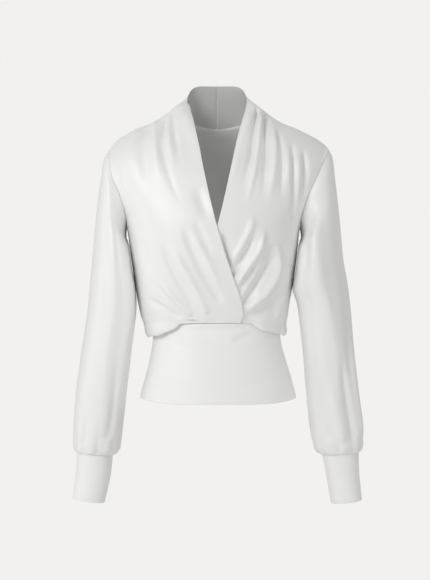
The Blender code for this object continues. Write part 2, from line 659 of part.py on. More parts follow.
def patch(bottom, top, start, end):
    """A surface between four boundary lines: rows run from bottom to top."""
    s = np.linspace(0, 1, bottom.shape[0])[None, :, None]
    t = np.linspace(0, 1, start.shape[0])[:, None, None]
    corners = ((1 - s) * (1 - t) * bottom[0] + s * (1 - t) * bottom[-1]
               + (1 - s) * t * top[0] + s * t * top[-1])
    return (1 - t) * bottom[None] + t * top[None] + (1 - s) * start[:, None] \
        + s * end[:, None] - corners


def add_back():
    at = station_rows()
    rows = at[at <= TIP_AT]
    top, top_normals = back_top()
    across = np.linspace(-1, 1, len(top))
    start, start_normals = back_side(-1, rows)
    end, end_normals = back_side(1, rows)
    start[-1], end[-1] = top[0], top[-1]
    turn = across * math.pi / 2
    base_z = SIDE_Z["z"][0]
    x = np.where(turn < 0, half_width(-1, base_z), half_width(1, base_z)) \
        * np.sign(turn) * np.abs(np.sin(turn)) ** (2 / ROUND)
    bottom = np.stack([x, torso_y(x, np.full_like(x, base_z), 1), np.full_like(x, base_z)], -1)
    bottom[0], bottom[-1] = start[0], end[0]
    flat = patch(bottom, top, start, end)
    deep = flat.copy()
    deep[..., 1] = torso_y(flat[..., 0], flat[..., 2], 1)
    miss = [line - face for line, face in
            ((bottom, deep[0]), (top, deep[-1]), (start, deep[:, 0]), (end, deep[:, -1]))]
    fade_rows = np.linspace(0, 1, len(rows))[:, None]
    near_side = np.abs(across)[None] ** 8
    deep[..., 1] += miss[1][None, :, 1] * fade_rows ** 5 * (1 - near_side)
    deep[..., 1] += np.where(across[None] < 0, miss[2][:, 1:2], miss[3][:, 1:2]) * near_side
    points = even_out(deep, rows, (1 - np.abs(across)) * (len(across) - 1) / 2)
    normals = grid_normals(points)
    normals *= np.sign(np.sum(normals[..., 1]))
    lift = fold_height(FOLDS_BACK, points[..., 0], points[..., 2])
    points = points + normals * (lift * smoothstep(1.0, 0.85, np.abs(across)))[..., None]
    normals = grid_normals(points)
    normals *= np.sign(np.sum(normals[..., 1]))
    normals[:, 0], normals[:, -1], normals[-1] = start_normals, end_normals, top_normals

    angle = np.sign(across) * math.pi - turn
    angle[len(angle) // 2] = math.pi
    hang = fall_rows(angle, np.zeros_like(angle))
    hang[:, 0, 1] += GAP / 2
    hang[:, -1, 1] += GAP / 2
    joined = np.concatenate([hang, points])
    joined_normals = grid_normals(joined)
    joined_normals *= np.sign(np.sum(joined_normals[10:, :, 1]))
    joined_normals[len(hang):] = normals
    for column in (0, -1):
        joined_normals[:len(hang), column] = unit(joined_normals[:len(hang), column]
                                                  * np.array([1, 0, 1]))
    add_wall("back", joined, joined - wall_rows(len(joined), True) * joined_normals, False)


# ---------------------------------------------------------------- sleeves and cuffs
# Sections of a sleeve from the armhole down: its outermost point, its innermost point,
# how far ahead (-) or behind both lie, and its half depth.
SLEEVE_RIGHT = table("at outer_x outer_z inner_x inner_z outer_y inner_y half_depth",
                     (0.0, 0.2000, -0.060, 0.1660, -0.205, 0.000, 0.000, 0.050),
                     (0.5, 0.2090, -0.078, 0.1675, -0.212, 0.000, 0.000, 0.054),
                     (1.0, 0.2140, -0.110, 0.1672, -0.222, 0.000, -0.004, 0.055),
                     (2.0, 0.2235, -0.180, 0.1602, -0.245, -0.001, -0.029, 0.053),
                     (3.0, 0.2310, -0.262, 0.1546, -0.285, -0.002, -0.038, 0.054),
                     (3.5, 0.2350, -0.303, 0.1496, -0.315, -0.003, -0.036, 0.054),
                     (4.0, 0.2385, -0.345, 0.1480, -0.345, -0.004, -0.030, 0.054),
                     (5.0, 0.2500, -0.430, 0.1570, -0.430, -0.008, -0.022, 0.053),
                     (6.0, 0.2600, -0.510, 0.1665, -0.510, -0.013, -0.018, 0.051),
                     (7.0, 0.2640, -0.575, 0.1735, -0.575, -0.017, -0.018, 0.047),
                     (8.0, 0.2640, -0.605, 0.1785, -0.609, -0.019, -0.019, 0.041))

SLEEVE_LEFT = table("at outer_x outer_z inner_x inner_z outer_y inner_y half_depth",
                    (0.0, 0.2060, -0.057, 0.1530, -0.205, 0.000, 0.000, 0.050),
                    (0.5, 0.2140, -0.076, 0.1545, -0.212, 0.000, 0.000, 0.054),
                    (1.0, 0.2180, -0.110, 0.1550, -0.222, 0.000, -0.004, 0.055),
                    (2.0, 0.2260, -0.180, 0.1487, -0.245, -0.001, -0.029, 0.053),
                    (3.0, 0.2335, -0.262, 0.1430, -0.285, -0.002, -0.038, 0.054),
                    (3.5, 0.2405, -0.303, 0.1382, -0.315, -0.003, -0.036, 0.054),
                    (4.0, 0.2460, -0.345, 0.1468, -0.345, -0.004, -0.030, 0.054),
                    (5.0, 0.2530, -0.430, 0.1572, -0.430, -0.008, -0.022, 0.053),
                    (6.0, 0.2620, -0.510, 0.1642, -0.510, -0.013, -0.018, 0.051),
                    (7.0, 0.2700, -0.575, 0.1712, -0.575, -0.017, -0.018, 0.047),
                    (8.0, 0.2675, -0.605, 0.1795, -0.609, -0.019, -0.019, 0.041))

CUFF_RIGHT = table("at outer_x outer_z inner_x inner_z outer_y inner_y half_depth",
                   (0.0, 0.2575, -0.613, 0.1910, -0.619, -0.019, -0.019, 0.0330),
                   (1.0, 0.2590, -0.650, 0.1950, -0.656, -0.021, -0.021, 0.0315),
                   (2.0, 0.2650, -0.700, 0.2062, -0.708, -0.024, -0.024, 0.0290))

CUFF_LEFT = table("at outer_x outer_z inner_x inner_z outer_y inner_y half_depth",
                  (0.0, 0.2600, -0.613, 0.1930, -0.618, -0.019, -0.019, 0.0330),
                  (1.0, 0.2610, -0.650, 0.2000, -0.656, -0.021, -0.021, 0.0315),
                  (2.0, 0.2660, -0.7025, 0.2090, -0.709, -0.024, -0.024, 0.0290))

# the sleeve's end falls over the cuff: share of the way out to the sleeve, way out, way down
CUFF_FALL = ((0.92, 0.0, 0.0026), (0.62, 0.0, 0.0062), (0.0, 0.0022, 0.0030),
             (0.0, 0.0009, -0.0004), (0.0, -0.0009, -0.0006))
SLEEVE_COLUMNS, SLEEVE_RINGS = 24, 19
CUFF_COLUMNS, CUFF_RINGS = 24, 5
END_CALM = 0.65          # how much flatter the sleeve's folds are at its gathered end


def tube_ring(sections, side, at, angle):
    """One ring of a sleeve or cuff: angle 0 is its outer side, 90 degrees its front."""
    read = {name: smooth_read(sections, "at", name, np.array([at]))[0] for name in sections}
    outer = np.array([side * read["outer_x"], read["outer_y"], read["outer_z"]])
    inner = np.array([side * read["inner_x"], read["inner_y"], read["inner_z"]])
    c, s = np.cos(angle), np.sin(angle)
    power = 2 / TUBE_ROUND
    c = np.sign(c) * np.abs(c) ** power
    s = np.sign(s) * np.abs(s) ** power
    ring = (outer + inner) / 2 + c[:, None] * (outer - inner) / 2
    ring[:, 1] -= s * read["half_depth"]
    return ring


def tube_outward(points):
    normals = grid_normals(points, closed=True)
    away = points - points.mean(axis=1, keepdims=True)
    return normals * np.sign(np.sum(normals * away))


def add_sleeve(name, side, sections, cuff, folds):
    angle = np.linspace(0, 2 * math.pi, SLEEVE_COLUMNS, endpoint=False)
    places = np.linspace(0, sections["at"][-1], SLEEVE_RINGS)
    rings = np.array([tube_ring(sections, side, at, angle) for at in places])
    axis = armhole_frame(side)[2]
    around = np.where(angle > math.pi + 1e-6, angle - 2 * math.pi, angle)
    seam = armhole(side, around) + GAP * axis
    miss = seam - rings[0]
    for k, at in enumerate(places):
        rings[k] += miss * smoothstep(1.6, 0.0, at)
    flat_x = np.broadcast_to(around * SLEEVE_SPAN / (2 * math.pi), rings.shape[:2])
    flat_z = np.broadcast_to(-places[:, None] * SLEEVE_DROP, rings.shape[:2])
    strength = smoothstep(0.3, 1.2, places) * (1 - END_CALM * smoothstep(6.6, 8.0, places))
    lift = fold_height(folds, flat_x, flat_z) * strength[:, None]
    rings += tube_outward(rings) * lift[..., None]
    # the sleeve's end falls over the cuff and turns in to it
    top = tube_ring(cuff, side, 0.0, angle)
    middle = top.mean(axis=0)
    axis_down = unit(tube_ring(cuff, side, 0.3, angle).mean(axis=0) - middle)
    away = unit(top - middle)
    ends = [top + (rings[-1] - top) * share + away * out + axis_down * down
            for share, out, down in CUFF_FALL]
    points = np.concatenate([rings, ends])
    normals = tube_outward(points)
    normals[0] = armhole_normals(side, around, -1)
    add_wall(name, points, points - wall_rows(len(points), False) * normals, True)


def add_cuff(name, side, sections):
    angle = np.linspace(0, 2 * math.pi, CUFF_COLUMNS, endpoint=False)
    places = np.linspace(0, sections["at"][-1], CUFF_RINGS)
    points = np.array([tube_ring(sections, side, at, angle) for at in places])
    add_wall(name, points, points - BAND_WALL * tube_outward(points), True)


# ---------------------------------------------------------------- the waistband
BAND_COLUMNS, BAND_ROWS = 18, 7
HEM_DROP = 0.0140        # the hem is lower at the centre front


def add_band(name, facing):
    half = np.linspace(-math.pi / 2, math.pi / 2, BAND_COLUMNS + 1)
    angle = half if facing < 0 else np.where(half < 0, -math.pi, math.pi) - half
    if facing > 0:
        angle[BAND_COLUMNS // 2] = math.pi
    height = BAND["down"][-1]
    rows = []
    for down in np.linspace(0, height, BAND_ROWS):
        x, y = band_ring(angle, down)
        drop = HEM_DROP * (1 - np.abs(np.sin(angle)) ** 3) * (facing < 0) * down / height
        rows.append(np.stack([x, y, waist_z(angle) - down - drop], -1))
    points = np.array(rows)
    points[:, (0, -1), 1] += facing * GAP / 2
    normals = grid_normals(points)
    normals *= facing * np.sign(np.sum(normals[..., 1]))
    for column, side in ((0, -1), (-1, 1)):
        normals[:, column] = unit(normals[:, column] * np.array([1, 0, 1]))
    add_wall(name, points, points - BAND_WALL * normals, False)


def main():
    add_front("front_right", -1, True, FOLDS_RIGHT)
    add_front("front_left", 1, False, FOLDS_LEFT)
    add_back()
    add_sleeve("sleeve_right", -1, SLEEVE_RIGHT, CUFF_RIGHT, FOLDS_SLEEVE_RIGHT)
    add_sleeve("sleeve_left", 1, SLEEVE_LEFT, CUFF_LEFT, FOLDS_SLEEVE_LEFT)
    add_cuff("cuff_right", -1, CUFF_RIGHT)
    add_cuff("cuff_left", 1, CUFF_LEFT)
    add_band("waistband_front", -1)
    add_band("waistband_back", 1)


for leftover in list(bpy.data.objects):
    bpy.data.objects.remove(leftover, do_unlink=True)
COLLECTION = bpy.data.collections.new("wrap_top")
bpy.context.scene.collection.children.link(COLLECTION)
main()
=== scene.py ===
"""Wrap top: finely shaped cloth, stitches, finishes and a plain studio.

Metres, +Z up.  The front of the top faces -Y, and the wearer's right is at -X.  Every
piece of cloth is a thin wall on the form of its solid: a fine grid of outer points, in
which the pleats, gathers and creases are shaped, and the same grid moved in.
"""
import math

import bpy
import numpy as np
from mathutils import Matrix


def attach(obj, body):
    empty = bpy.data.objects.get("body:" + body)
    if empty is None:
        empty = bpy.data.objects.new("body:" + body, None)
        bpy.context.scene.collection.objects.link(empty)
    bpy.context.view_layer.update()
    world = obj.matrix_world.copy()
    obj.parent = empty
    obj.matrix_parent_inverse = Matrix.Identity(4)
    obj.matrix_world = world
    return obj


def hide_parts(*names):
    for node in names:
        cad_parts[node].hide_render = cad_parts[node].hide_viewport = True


bl_info = {
    "name": "Wrap top",
    "version": (1, 0, 0),
    "blender": (4, 5, 0),
    "location": "3D view > Sidebar > Wrap top",
    "description": "Makes the cloth, the stitches and the studio of a wrap top",
    "category": "Object",
}

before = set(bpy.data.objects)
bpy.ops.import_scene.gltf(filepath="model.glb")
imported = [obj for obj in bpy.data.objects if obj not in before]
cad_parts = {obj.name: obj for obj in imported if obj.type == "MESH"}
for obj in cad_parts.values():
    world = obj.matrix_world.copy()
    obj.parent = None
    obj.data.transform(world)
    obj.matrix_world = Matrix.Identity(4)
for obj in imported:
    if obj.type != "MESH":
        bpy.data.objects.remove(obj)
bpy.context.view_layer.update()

# ---------------------------------------------------------------- sizes of the cut
GAP = 0.0003             # between two pieces at a seam
LAY = 0.0030             # how far the right front lies over the left one
ROUND = 2.35             # exponent of the torso's rounded sections
TUBE_ROUND = 2.15        # exponent of the sleeve's sections
WAIST_Z = -0.378         # waist seam at the centre front
WAIST_DROP = 0.007       # the waist seam is lower at the sides
SHOULDER_DEPTH = 0.055   # how far below the shoulder line the chest is reached
TIP_X = {-1: 0.200, 1: 0.206}         # shoulder tips, the wearer's right and left
TIP_Z = {-1: -0.060, 1: -0.057}
NECK_X, NECK_Z = 0.082, 0.0135        # where shoulder seam and neck seam meet
SEAM_Y = 0.004           # the shoulder seam lies a little behind the middle
UNDERARM_Z = -0.205
SMALL = 1e-3             # step over which a seam's direction is taken
UNDERARM_TURN = 0.5      # radians of the armhole over which the cloth folds at the underarm

# fineness of the grids
FRONT_COLUMNS = 116
ROWS_EACH = 4            # rows for each row of the solid
BACK_COLUMNS = 190
SLEEVE_COLUMNS, SLEEVE_RINGS = 132, 190
CUFF_COLUMNS, CUFF_RINGS = 110, 46
BAND_COLUMNS, BAND_ROWS = 110, 50
TURN_STEPS = 5           # rows between two rows of a turned edge
EDGE_CROWD, EDGE_REACH = 0.985, 0.050


# ---------------------------------------------------------------- settings of the add-on
class ClothSizes(bpy.types.PropertyGroup):
    wall: bpy.props.FloatProperty(
        name="Cloth", description="Thickness of the crepe", default=0.0013,
        min=0.0005, max=0.003, unit="LENGTH")
    turned_wall: bpy.props.FloatProperty(
        name="Turned cloth", description="Thickness where the cloth turns in at a seam",
        default=0.0009, min=0.0004, max=0.002, unit="LENGTH")
    band_wall: bpy.props.FloatProperty(
        name="Doubled cloth", description="Thickness of the cuffs and the waistband",
        default=0.0024, min=0.001, max=0.004, unit="LENGTH")
    seam_dip: bpy.props.FloatProperty(
        name="Seam dip", description="How deep a pressed seam lies", default=0.00025,
        min=0.0, max=0.0015, unit="LENGTH")
    folds: bpy.props.FloatProperty(
        name="Folds", description="Depth of pleats and creases, against the shaped ones",
        default=1.15, min=0.0, max=1.3, subtype="FACTOR")
    gathers: bpy.props.FloatProperty(
        name="Gathers", description="Depth of the gathers at waist and cuffs",
        default=1.0, min=0.0, max=1.3, subtype="FACTOR")


class ClothColours(bpy.types.PropertyGroup):
    crepe: bpy.props.FloatVectorProperty(
        name="Crepe", description="Colour of the bodice and the sleeves",
        default=(0.86, 0.86, 0.855), size=3, min=0, max=1, subtype="COLOR")
    # the bands are the same crepe as the bodice in a lighter colour, which is painted light
    band: bpy.props.FloatVectorProperty(
        name="Bands", description="Colour of the cuffs and the waistband",
        default=(0.91, 0.91, 0.905), size=3, min=0, max=1, subtype="COLOR")
    thread: bpy.props.FloatVectorProperty(
        name="Thread", description="Colour of the stitches",
        default=(0.80, 0.80, 0.79), size=3, min=0, max=1, subtype="COLOR")


class StitchSizes(bpy.types.PropertyGroup):
    pitch: bpy.props.FloatProperty(
        name="Pitch", description="From one stitch to the next", default=0.0026,
        min=0.001, max=0.006, unit="LENGTH")
    length: bpy.props.FloatProperty(
        name="Length", description="Length of one stitch", default=0.0019,
        min=0.0005, max=0.005, unit="LENGTH")
    thread: bpy.props.FloatProperty(
        name="Thread", description="Radius of the thread", default=0.00022,
        min=0.0001, max=0.0006, unit="LENGTH")
    inset: bpy.props.FloatProperty(
        name="Inset", description="From the cuff's edge to its stitches", default=0.0046,
        min=0.001, max=0.02, unit="LENGTH")


class StudioSizes(bpy.types.PropertyGroup):
    distance: bpy.props.FloatProperty(
        name="Camera distance", description="From the camera to the middle of the top",
        default=3.0, min=1.0, max=10.0, unit="LENGTH")
    height: bpy.props.FloatProperty(
        name="View height", description="Height of the view at the middle of the top",
        default=1.073, min=0.3, max=5.0, unit="LENGTH")
    floor_z: bpy.props.FloatProperty(
        name="Floor", description="Height of the floor on which the wearer would stand",
        default=-1.40, min=-3.0, max=-0.75, unit="LENGTH")
    key: bpy.props.FloatProperty(
        name="Key light", description="Power of the large light at the left",
        default=26.0, min=0.0, max=1000.0, unit="POWER")
    around: bpy.props.FloatProperty(
        name="Light all round", description="Strength of the even light of the room",
        default=0.74, min=0.0, max=3.0)


# ---------------------------------------------------------------- tables and curves
def table(columns, *rows):
    """Return {column: values} for a table that is written one row a line."""
    return dict(zip(columns.split(), np.array(rows, float).T))


def smooth_read(tab, key, column, at):
    """Read a table's column at a value of its key, with a smooth monotone curve."""
    x, y = tab[key], tab[column]
    if x[0] > x[-1]:
        x, y = x[::-1], y[::-1]
    step = np.diff(x)
    slope = np.diff(y) / step
    tangent = np.zeros(len(x))
    tangent[0], tangent[-1] = slope[0], slope[-1]
    same_way = slope[:-1] * slope[1:] > 0
    product = 2 * slope[:-1] * slope[1:]
    total = np.where(same_way, slope[:-1] + slope[1:], 1.0)
    tangent[1:-1] = np.where(same_way, product / total, 0.0)
    at = np.clip(at, x[0], x[-1])
    k = np.clip(np.searchsorted(x, at, side="right") - 1, 0, len(x) - 2)
    t = (at - x[k]) / step[k]
    return ((1 + 2 * t) * (1 - t) ** 2 * y[k] + t * (1 - t) ** 2 * step[k] * tangent[k]
            + t * t * (3 - 2 * t) * y[k + 1] + t * t * (t - 1) * step[k] * tangent[k + 1])


def read_side(tab, key, at, x):
    """Read the column of the wearer's right where x is negative, and else of the left."""
    return np.where(np.asarray(x) < 0, smooth_read(tab, key, "right", at),
                    smooth_read(tab, key, "left", at))


def read_points(tab, key, at, side, prefix=""):
    """Read a table's points for one side; the table has the wearer's left."""
    x, y, z = (smooth_read(tab, key, prefix + name, at) for name in "xyz")
    return np.stack([side * x, y, z], -1)


def smoothstep(low, high, value):
    t = np.clip((value - low) / (high - low), 0.0, 1.0)
    return t * t * (3 - 2 * t)


def unit(vectors):
    vectors = np.asarray(vectors, float)
    return vectors / np.maximum(np.linalg.norm(vectors, axis=-1, keepdims=True), 1e-12)


def crowded(count):
    """Places from 0 to 1 that crowd together at both ends, for rounded edges and seams."""
    t = (np.arange(count) + 0.5) / count
    ends = np.exp(-(t / EDGE_REACH) ** 2) + np.exp(-((1 - t) / EDGE_REACH) ** 2)
    place = np.concatenate([[0.0], np.cumsum(1 - EDGE_CROWD * ends)])
    return place / place[-1]


def smooth_rows(rows, steps):
    """A curve through every row of points, with steps rows between two of them."""
    padded = np.concatenate([2 * rows[:1] - rows[1:2], rows, 2 * rows[-1:] - rows[-2:-1]])
    out = []
    for k in range(1, len(padded) - 2):
        a, b, c, d = padded[k - 1:k + 3]
        for t in np.arange(steps) / steps:
            out.append(0.5 * (2 * b + (c - a) * t + (2 * a - 5 * b + 4 * c - d) * t ** 2
                              + (3 * b - a - 3 * c + d) * t ** 3))
    return np.array(out + [rows[-1]])


# ---------------------------------------------------------------- the torso
# half widths on the wearer's right and left, and depths to the front and back
TORSO = table(
    "z right left front back",
    (-0.384, 0.132, 0.1265, 0.092, 0.086),
    (-0.37, 0.1395, 0.13, 0.0945, 0.091),
    (-0.345, 0.1452, 0.1335, 0.103, 0.097),
    (-0.315, 0.1505, 0.139, 0.111, 0.101),
    (-0.26, 0.1585, 0.147, 0.119, 0.106),
    (-0.205, 0.166, 0.153, 0.119, 0.108),
    (-0.15, 0.184, 0.176, 0.106, 0.107),
    (-0.1, 0.203, 0.199, 0.09, 0.101),
    (-0.05, 0.214, 0.214, 0.07, 0.088),
    (-0.014, 0.22, 0.22, 0.056, 0.067),
    (0.06, 0.23, 0.23, 0.04, 0.06))

# the line that the shoulders and the sides of the collar make against the light
RIDGE = table(
    "x right left",
    (0, 0.07, 0.07), (0.052, 0.052, 0.052), (0.0585, 0.035, 0.035), (0.07, 0.022, 0.022),
    (NECK_X, NECK_Z, NECK_Z), (0.1, 0.003, 0.003), (0.119, -0.0085, -0.0085),
    (0.147, -0.0185, -0.0195), (0.168, -0.03, -0.03), (0.186, -0.042, -0.0395),
    (TIP_X[-1], TIP_Z[-1], -0.05), (TIP_X[1], -0.069, TIP_Z[1]), (0.24, -0.12, -0.11))

# the waistband: half widths and depths down from the waist seam
BAND = table(
    "down right left front back",
    (0, 0.1165, 0.115, 0.09, 0.08),
    (0.03, 0.119, 0.1185, 0.092, 0.083),
    (0.06, 0.124, 0.1265, 0.096, 0.089),
    (0.09, 0.1315, 0.1355, 0.101, 0.0965),
    (0.115, 0.1385, 0.1425, 0.105, 0.102),
    (0.131, 0.1425, 0.1465, 0.108, 0.105))


def half_width(x, z):
    return read_side(TORSO, "z", z, x)


def ridge(x):
    return read_side(RIDGE, "x", np.abs(x), x)


def torso_y(x, z, facing):
    """Depth of the torso at a place seen from the front; facing is -1 front, +1 back."""
    across = np.clip(np.abs(x) / half_width(x, z), 0, 1) ** ROUND
    depth = smooth_read(TORSO, "z", "front" if facing < 0 else "back", z)
    below = np.clip((ridge(x) - z) / SHOULDER_DEPTH, 0, 1)
    dome = np.sqrt(1 - (1 - below) ** 2)
    return SEAM_Y * (1 - below) + facing * depth * (1 - across) ** (1 / ROUND) * dome


def ring_xy(angle, right, left, front, back, power=ROUND):
    """A rounded section: angle 0 is the centre front, and +90 degrees the wearer's left."""
    s, c = np.sin(angle), np.cos(angle)
    across = np.sign(s) * np.abs(s) ** (2 / power)
    ahead = np.sign(c) * np.abs(c) ** (2 / power)
    return (across * np.where(s < 0, right, left),
            -ahead * np.where(c > 0, front, back))


# ---------------------------------------------------------------- seams
def waist_z(angle):
    return WAIST_Z - WAIST_DROP * np.sin(angle) ** 2


def band_ring(angle, down):
    sizes = [smooth_read(BAND, "down", name, down) for name in ("right", "left", "front", "back")]
    return ring_xy(angle, *sizes)


def waist_points(angle):
    """Points of the waist seam on the waistband's outer face, and their outward normals."""
    x, y = band_ring(angle, 0.0)
    xa, ya = band_ring(angle - SMALL, 0.0)
    xb, yb = band_ring(angle + SMALL, 0.0)
    normal = unit(np.stack([yb - ya, xa - xb, np.zeros_like(x)], -1))
    outward = np.sign(np.sum(normal[..., :2] * np.stack([x, y], -1), -1, keepdims=True))
    return np.stack([x, y, waist_z(angle)], -1), normal * outward


# scoop of the armhole towards the neck, down from the tip (0) to the underarm (1)
ARMHOLE = table(
    "down right left back",
    (0, 0, 0, 0),
    (0.12, -0.002, 0.001, 0.001),
    (0.35, -0.003, 0.004, 0.003),
    (0.6, 0.003, 0.008, 0.004),
    (0.82, 0.005, 0.007, 0.003),
    (1, 0, 0, 0))
ARMHOLE_FRONT, ARMHOLE_BACK = 0.050, 0.053      # how far it reaches ahead and behind


def armhole_frame(side):
    """Shoulder tip, underarm point, and the axis along which the sleeve leaves."""
    tip = np.array([side * TIP_X[side], SEAM_Y, TIP_Z[side]])
    pit = np.array([side * half_width(side, UNDERARM_Z), 0.0, UNDERARM_Z])
    down = unit(pit - tip)
    axis = unit(np.array([-down[2] * side, 0.0, down[0] * side]))
    return tip, pit, axis


def armhole(side, angle):
    """The armhole seam: angle 0 at the tip, 180 degrees at the underarm, over the front."""
    tip, pit, _ = armhole_frame(side)
    low = (1 - np.cos(angle)) / 2
    ahead = np.sin(angle) >= 0
    ahead_depth = np.sqrt(np.clip(1 - (2 * low - 1) ** 2, 0, 1))
    depth = np.where(ahead, ARMHOLE_FRONT, ARMHOLE_BACK) * ahead_depth ** (2 / ROUND)
    scoop = np.where(ahead, read_side(ARMHOLE, "down", low, side),
                     smooth_read(ARMHOLE, "down", "back", low))
    points = tip + low[..., None] * (pit - tip)
    points[..., 1] -= np.where(ahead, 1, -1) * depth
    return points - scoop[..., None] * np.array([side, 0, 0])


def armhole_normals(side, angle, lean):
    """Normals at the armhole seam, away from the middle of the hole.  Under the arm the
    cloth folds over sharply, so there they lean out of the seam's plane."""
    tip, pit, axis = armhole_frame(side)
    away = armhole(side, angle) - (tip + pit) / 2
    away -= (away @ axis)[..., None] * axis
    low = np.exp(-((np.abs(angle) - math.pi) / UNDERARM_TURN) ** 2)
    return unit(unit(away) + (lean * side * low)[..., None] * np.array([1, 0, 0]))


def shoulder(side, along):
    """The shoulder seam from the tip (0) to the neck point (1), with its upward normals."""
    x = TIP_X[side] + along * (NECK_X - TIP_X[side])
    z = ridge(side * x)
    rise = (ridge(side * (x - SMALL)) - ridge(side * (x + SMALL))) / (2 * SMALL)
    normal = unit(np.stack([side * rise, np.zeros_like(x), np.ones_like(x)], -1))
    return np.stack([side * x, np.full_like(x, SEAM_Y), z], -1), normal


NECK = table(
    "along x y z",
    (0, NECK_X, SEAM_Y, NECK_Z),
    (0.2, 0.079, 0.025, 0.011),
    (0.4, 0.068, 0.044, 0.004),
    (0.6, 0.049, 0.057, -0.0055),
    (0.8, 0.026, 0.0648, -0.0118),
    (1, 0, 0.0665, -0.0138))

NECK_MIDDLE, NECK_AWAY = np.array([0, 0.01, 0]), np.array([1, 1.5, 0])
NECK_RISE = 0.6          # how far the normals at the neck seam lean up


def neck(side, along):
    """The back neck seam from the neck point (0) to the centre back (1), with normals."""
    points = read_points(NECK, "along", along, side)
    away = unit((points - NECK_MIDDLE) * NECK_AWAY)
    return points, unit(away + np.array([0, 0, NECK_RISE]))


# ---------------------------------------------------------------- folds
# Each fold passes four places (x, z), seen from the front, and fades over a share of its
# length at its start and its end.  A trough has a negative height.
FOLD_COLUMNS = "x0 z0 x1 z1 x2 z2 x3 z3 height width start end"
FOLD_STEPS = 6           # straight pieces between two places of a fold


def fold_table(*rows):
    """A table of folds from rows with their lengths in millimetres."""
    return {name: values if name in ("start", "end") else values / 1000
            for name, values in table(FOLD_COLUMNS, *rows).items()}


FOLDS_RIGHT = fold_table(
    # pleats from the shoulder seam, and the roll of the collar beside them
    (-95, -2, -100, -48, -91, -98, -62, -178, -3.8, 5.6, 0.02, 0.55),
    (-82, 8, -79.5, -20, -72.8, -58, -67, -100, -2.8, 4.4, 0.02, 0.45),
    (-89, 3, -89, -30, -83.5, -66, -75, -105, 1.6, 4.2, 0.05, 0.45),
    (-110, -4, -113, -45, -108.5, -90, -93, -140, 2.2, 6.8, 0.05, 0.6),
    (-108, -4, -108.5, -15, -108, -26, -106.5, -40, -1.4, 2.8, 0.05, 0.6),
    (-129, -14, -135, -55, -131, -95, -118, -160, -3.2, 12.5, 0.08, 0.4),
    (-56, 34, -47, -8, -33, -56, -22, -106, 4.6, 16, 0.12, 0.35),
    (-42, -130, -31, -152, -23, -174, -14, -200, -3.6, 9.5, 0.35, 0.4),
    (-186, -74, -184, -105, -176, -140, -168, -180, -2.2, 8.5, 0.25, 0.5),
    # creases that run together at the waist
    (-60, -206, -38, -262, -13, -309, 11, -345, -5, 6.2, 0.14, 0.16),
    (-98, -228, -85, -273, -62, -316, -40, -354, -4.2, 5.6, 0.25, 0.12),
    (-42, -190, -30, -215, -19, -238, -6, -264, -2.6, 6.4, 0.3, 0.4),
    (-45, -222, -24, -252, -8, -284, 8, -318, 2.4, 5.8, 0.25, 0.3),
    (-85, -236, -62, -275, -38, -317, -16.5, -363, 3.8, 6, 0.3, 0.06),
    (-106, -290, -86, -322, -64, -346, -43, -366, 4, 5.2, 0.4, 0.12),
    (-128, -332, -106, -345, -83, -358, -62, -368, -3.6, 4.2, 0.25, 0.15),
    (-119, -300, -108, -313, -95, -327, -80, -341, -1.2, 4.2, 0.35, 0.4),
    (-128, -215, -129, -245, -123, -275, -110, -302, -1.2, 7.5, 0.35, 0.4),
    # two soft nubs of gathered cloth above the seam
    (-60, -366, -52, -367.2, -44, -368.2, -36, -368.8, -1, 3.6, 0.35, 0.35),
    (-20, -369, -11, -369.2, -2, -368.6, 7, -367.4, -1, 3.6, 0.35, 0.35))

FOLDS_LEFT = fold_table(
    # pleats from the shoulder seam and the valley beside the collar
    (76, 14, 65.5, -30, 59, -78, 44, -144, -8.4, 5.2, 0.02, 0.4),
    (82, 6, 75.5, -50, 67, -105, 51, -174, 4.2, 5.4, 0.05, 0.35),
    (90.5, 8, 87, -43, 87.5, -90, 80.5, -158, -8, 5.6, 0.02, 0.45),
    (103, -12, 105, -60, 101, -115, 89, -182, 3.4, 6.2, 0.15, 0.4),
    (108, -18, 116.5, -64, 117.5, -112, 113, -165, -4.8, 4.8, 0.2, 0.45),
    (127, -50, 128.5, -80, 128.5, -112, 126, -150, 2.4, 5.4, 0.35, 0.45),
    (136.5, -44, 139, -105, 138.5, -165, 135, -235, -5.2, 4.2, 0.18, 0.4),
    (145, -65, 147, -90, 147, -115, 145, -145, 2, 4.6, 0.35, 0.4),
    (157, -58, 160, -98, 157.5, -134, 152, -185, -5.6, 4.2, 0.2, 0.35),
    (62, 10, 48, -30, 37, -80, 23, -140, 2.4, 7, 0.08, 0.3),
    # hollow under the edge of the right front
    (6, -212, 12, -238, 19, -264, 29, -296, -5.8, 6, 0.2, 0.25),
    # creases that run together at the crossing
    (64, -178, 60, -208, 46, -238, 27, -270, 4, 7, 0.35, 0.12),
    (70, -206, 57, -240, 43, -264, 23.5, -298, -6.2, 6, 0.3, 0.05),
    (86, -204, 77, -243, 60, -271, 33.5, -308, 6.2, 5.4, 0.3, 0.05),
    (76, -262, 59, -288, 47, -305, 37, -324, -3, 4, 0.3, 0.1),
    (78, -280, 64, -300, 50, -320, 40, -338, 1.4, 3.8, 0.4, 0.2),
    (104, -232, 91, -274, 71, -308, 46, -346, -8.4, 7, 0.3, 0.05),
    (113, -240, 108, -286, 87, -324, 48, -355, 8, 6.8, 0.25, 0.06),
    (108, -335, 92, -352, 72, -362, 50, -366, -2.6, 5.2, 0.35, 0.1),
    (126, -245, 127, -290, 119, -330, 105, -378, 3, 5, 0.3, 0.1),
    (119, -225, 120, -270, 112, -315, 96, -366, -2.4, 4.4, 0.3, 0.12))

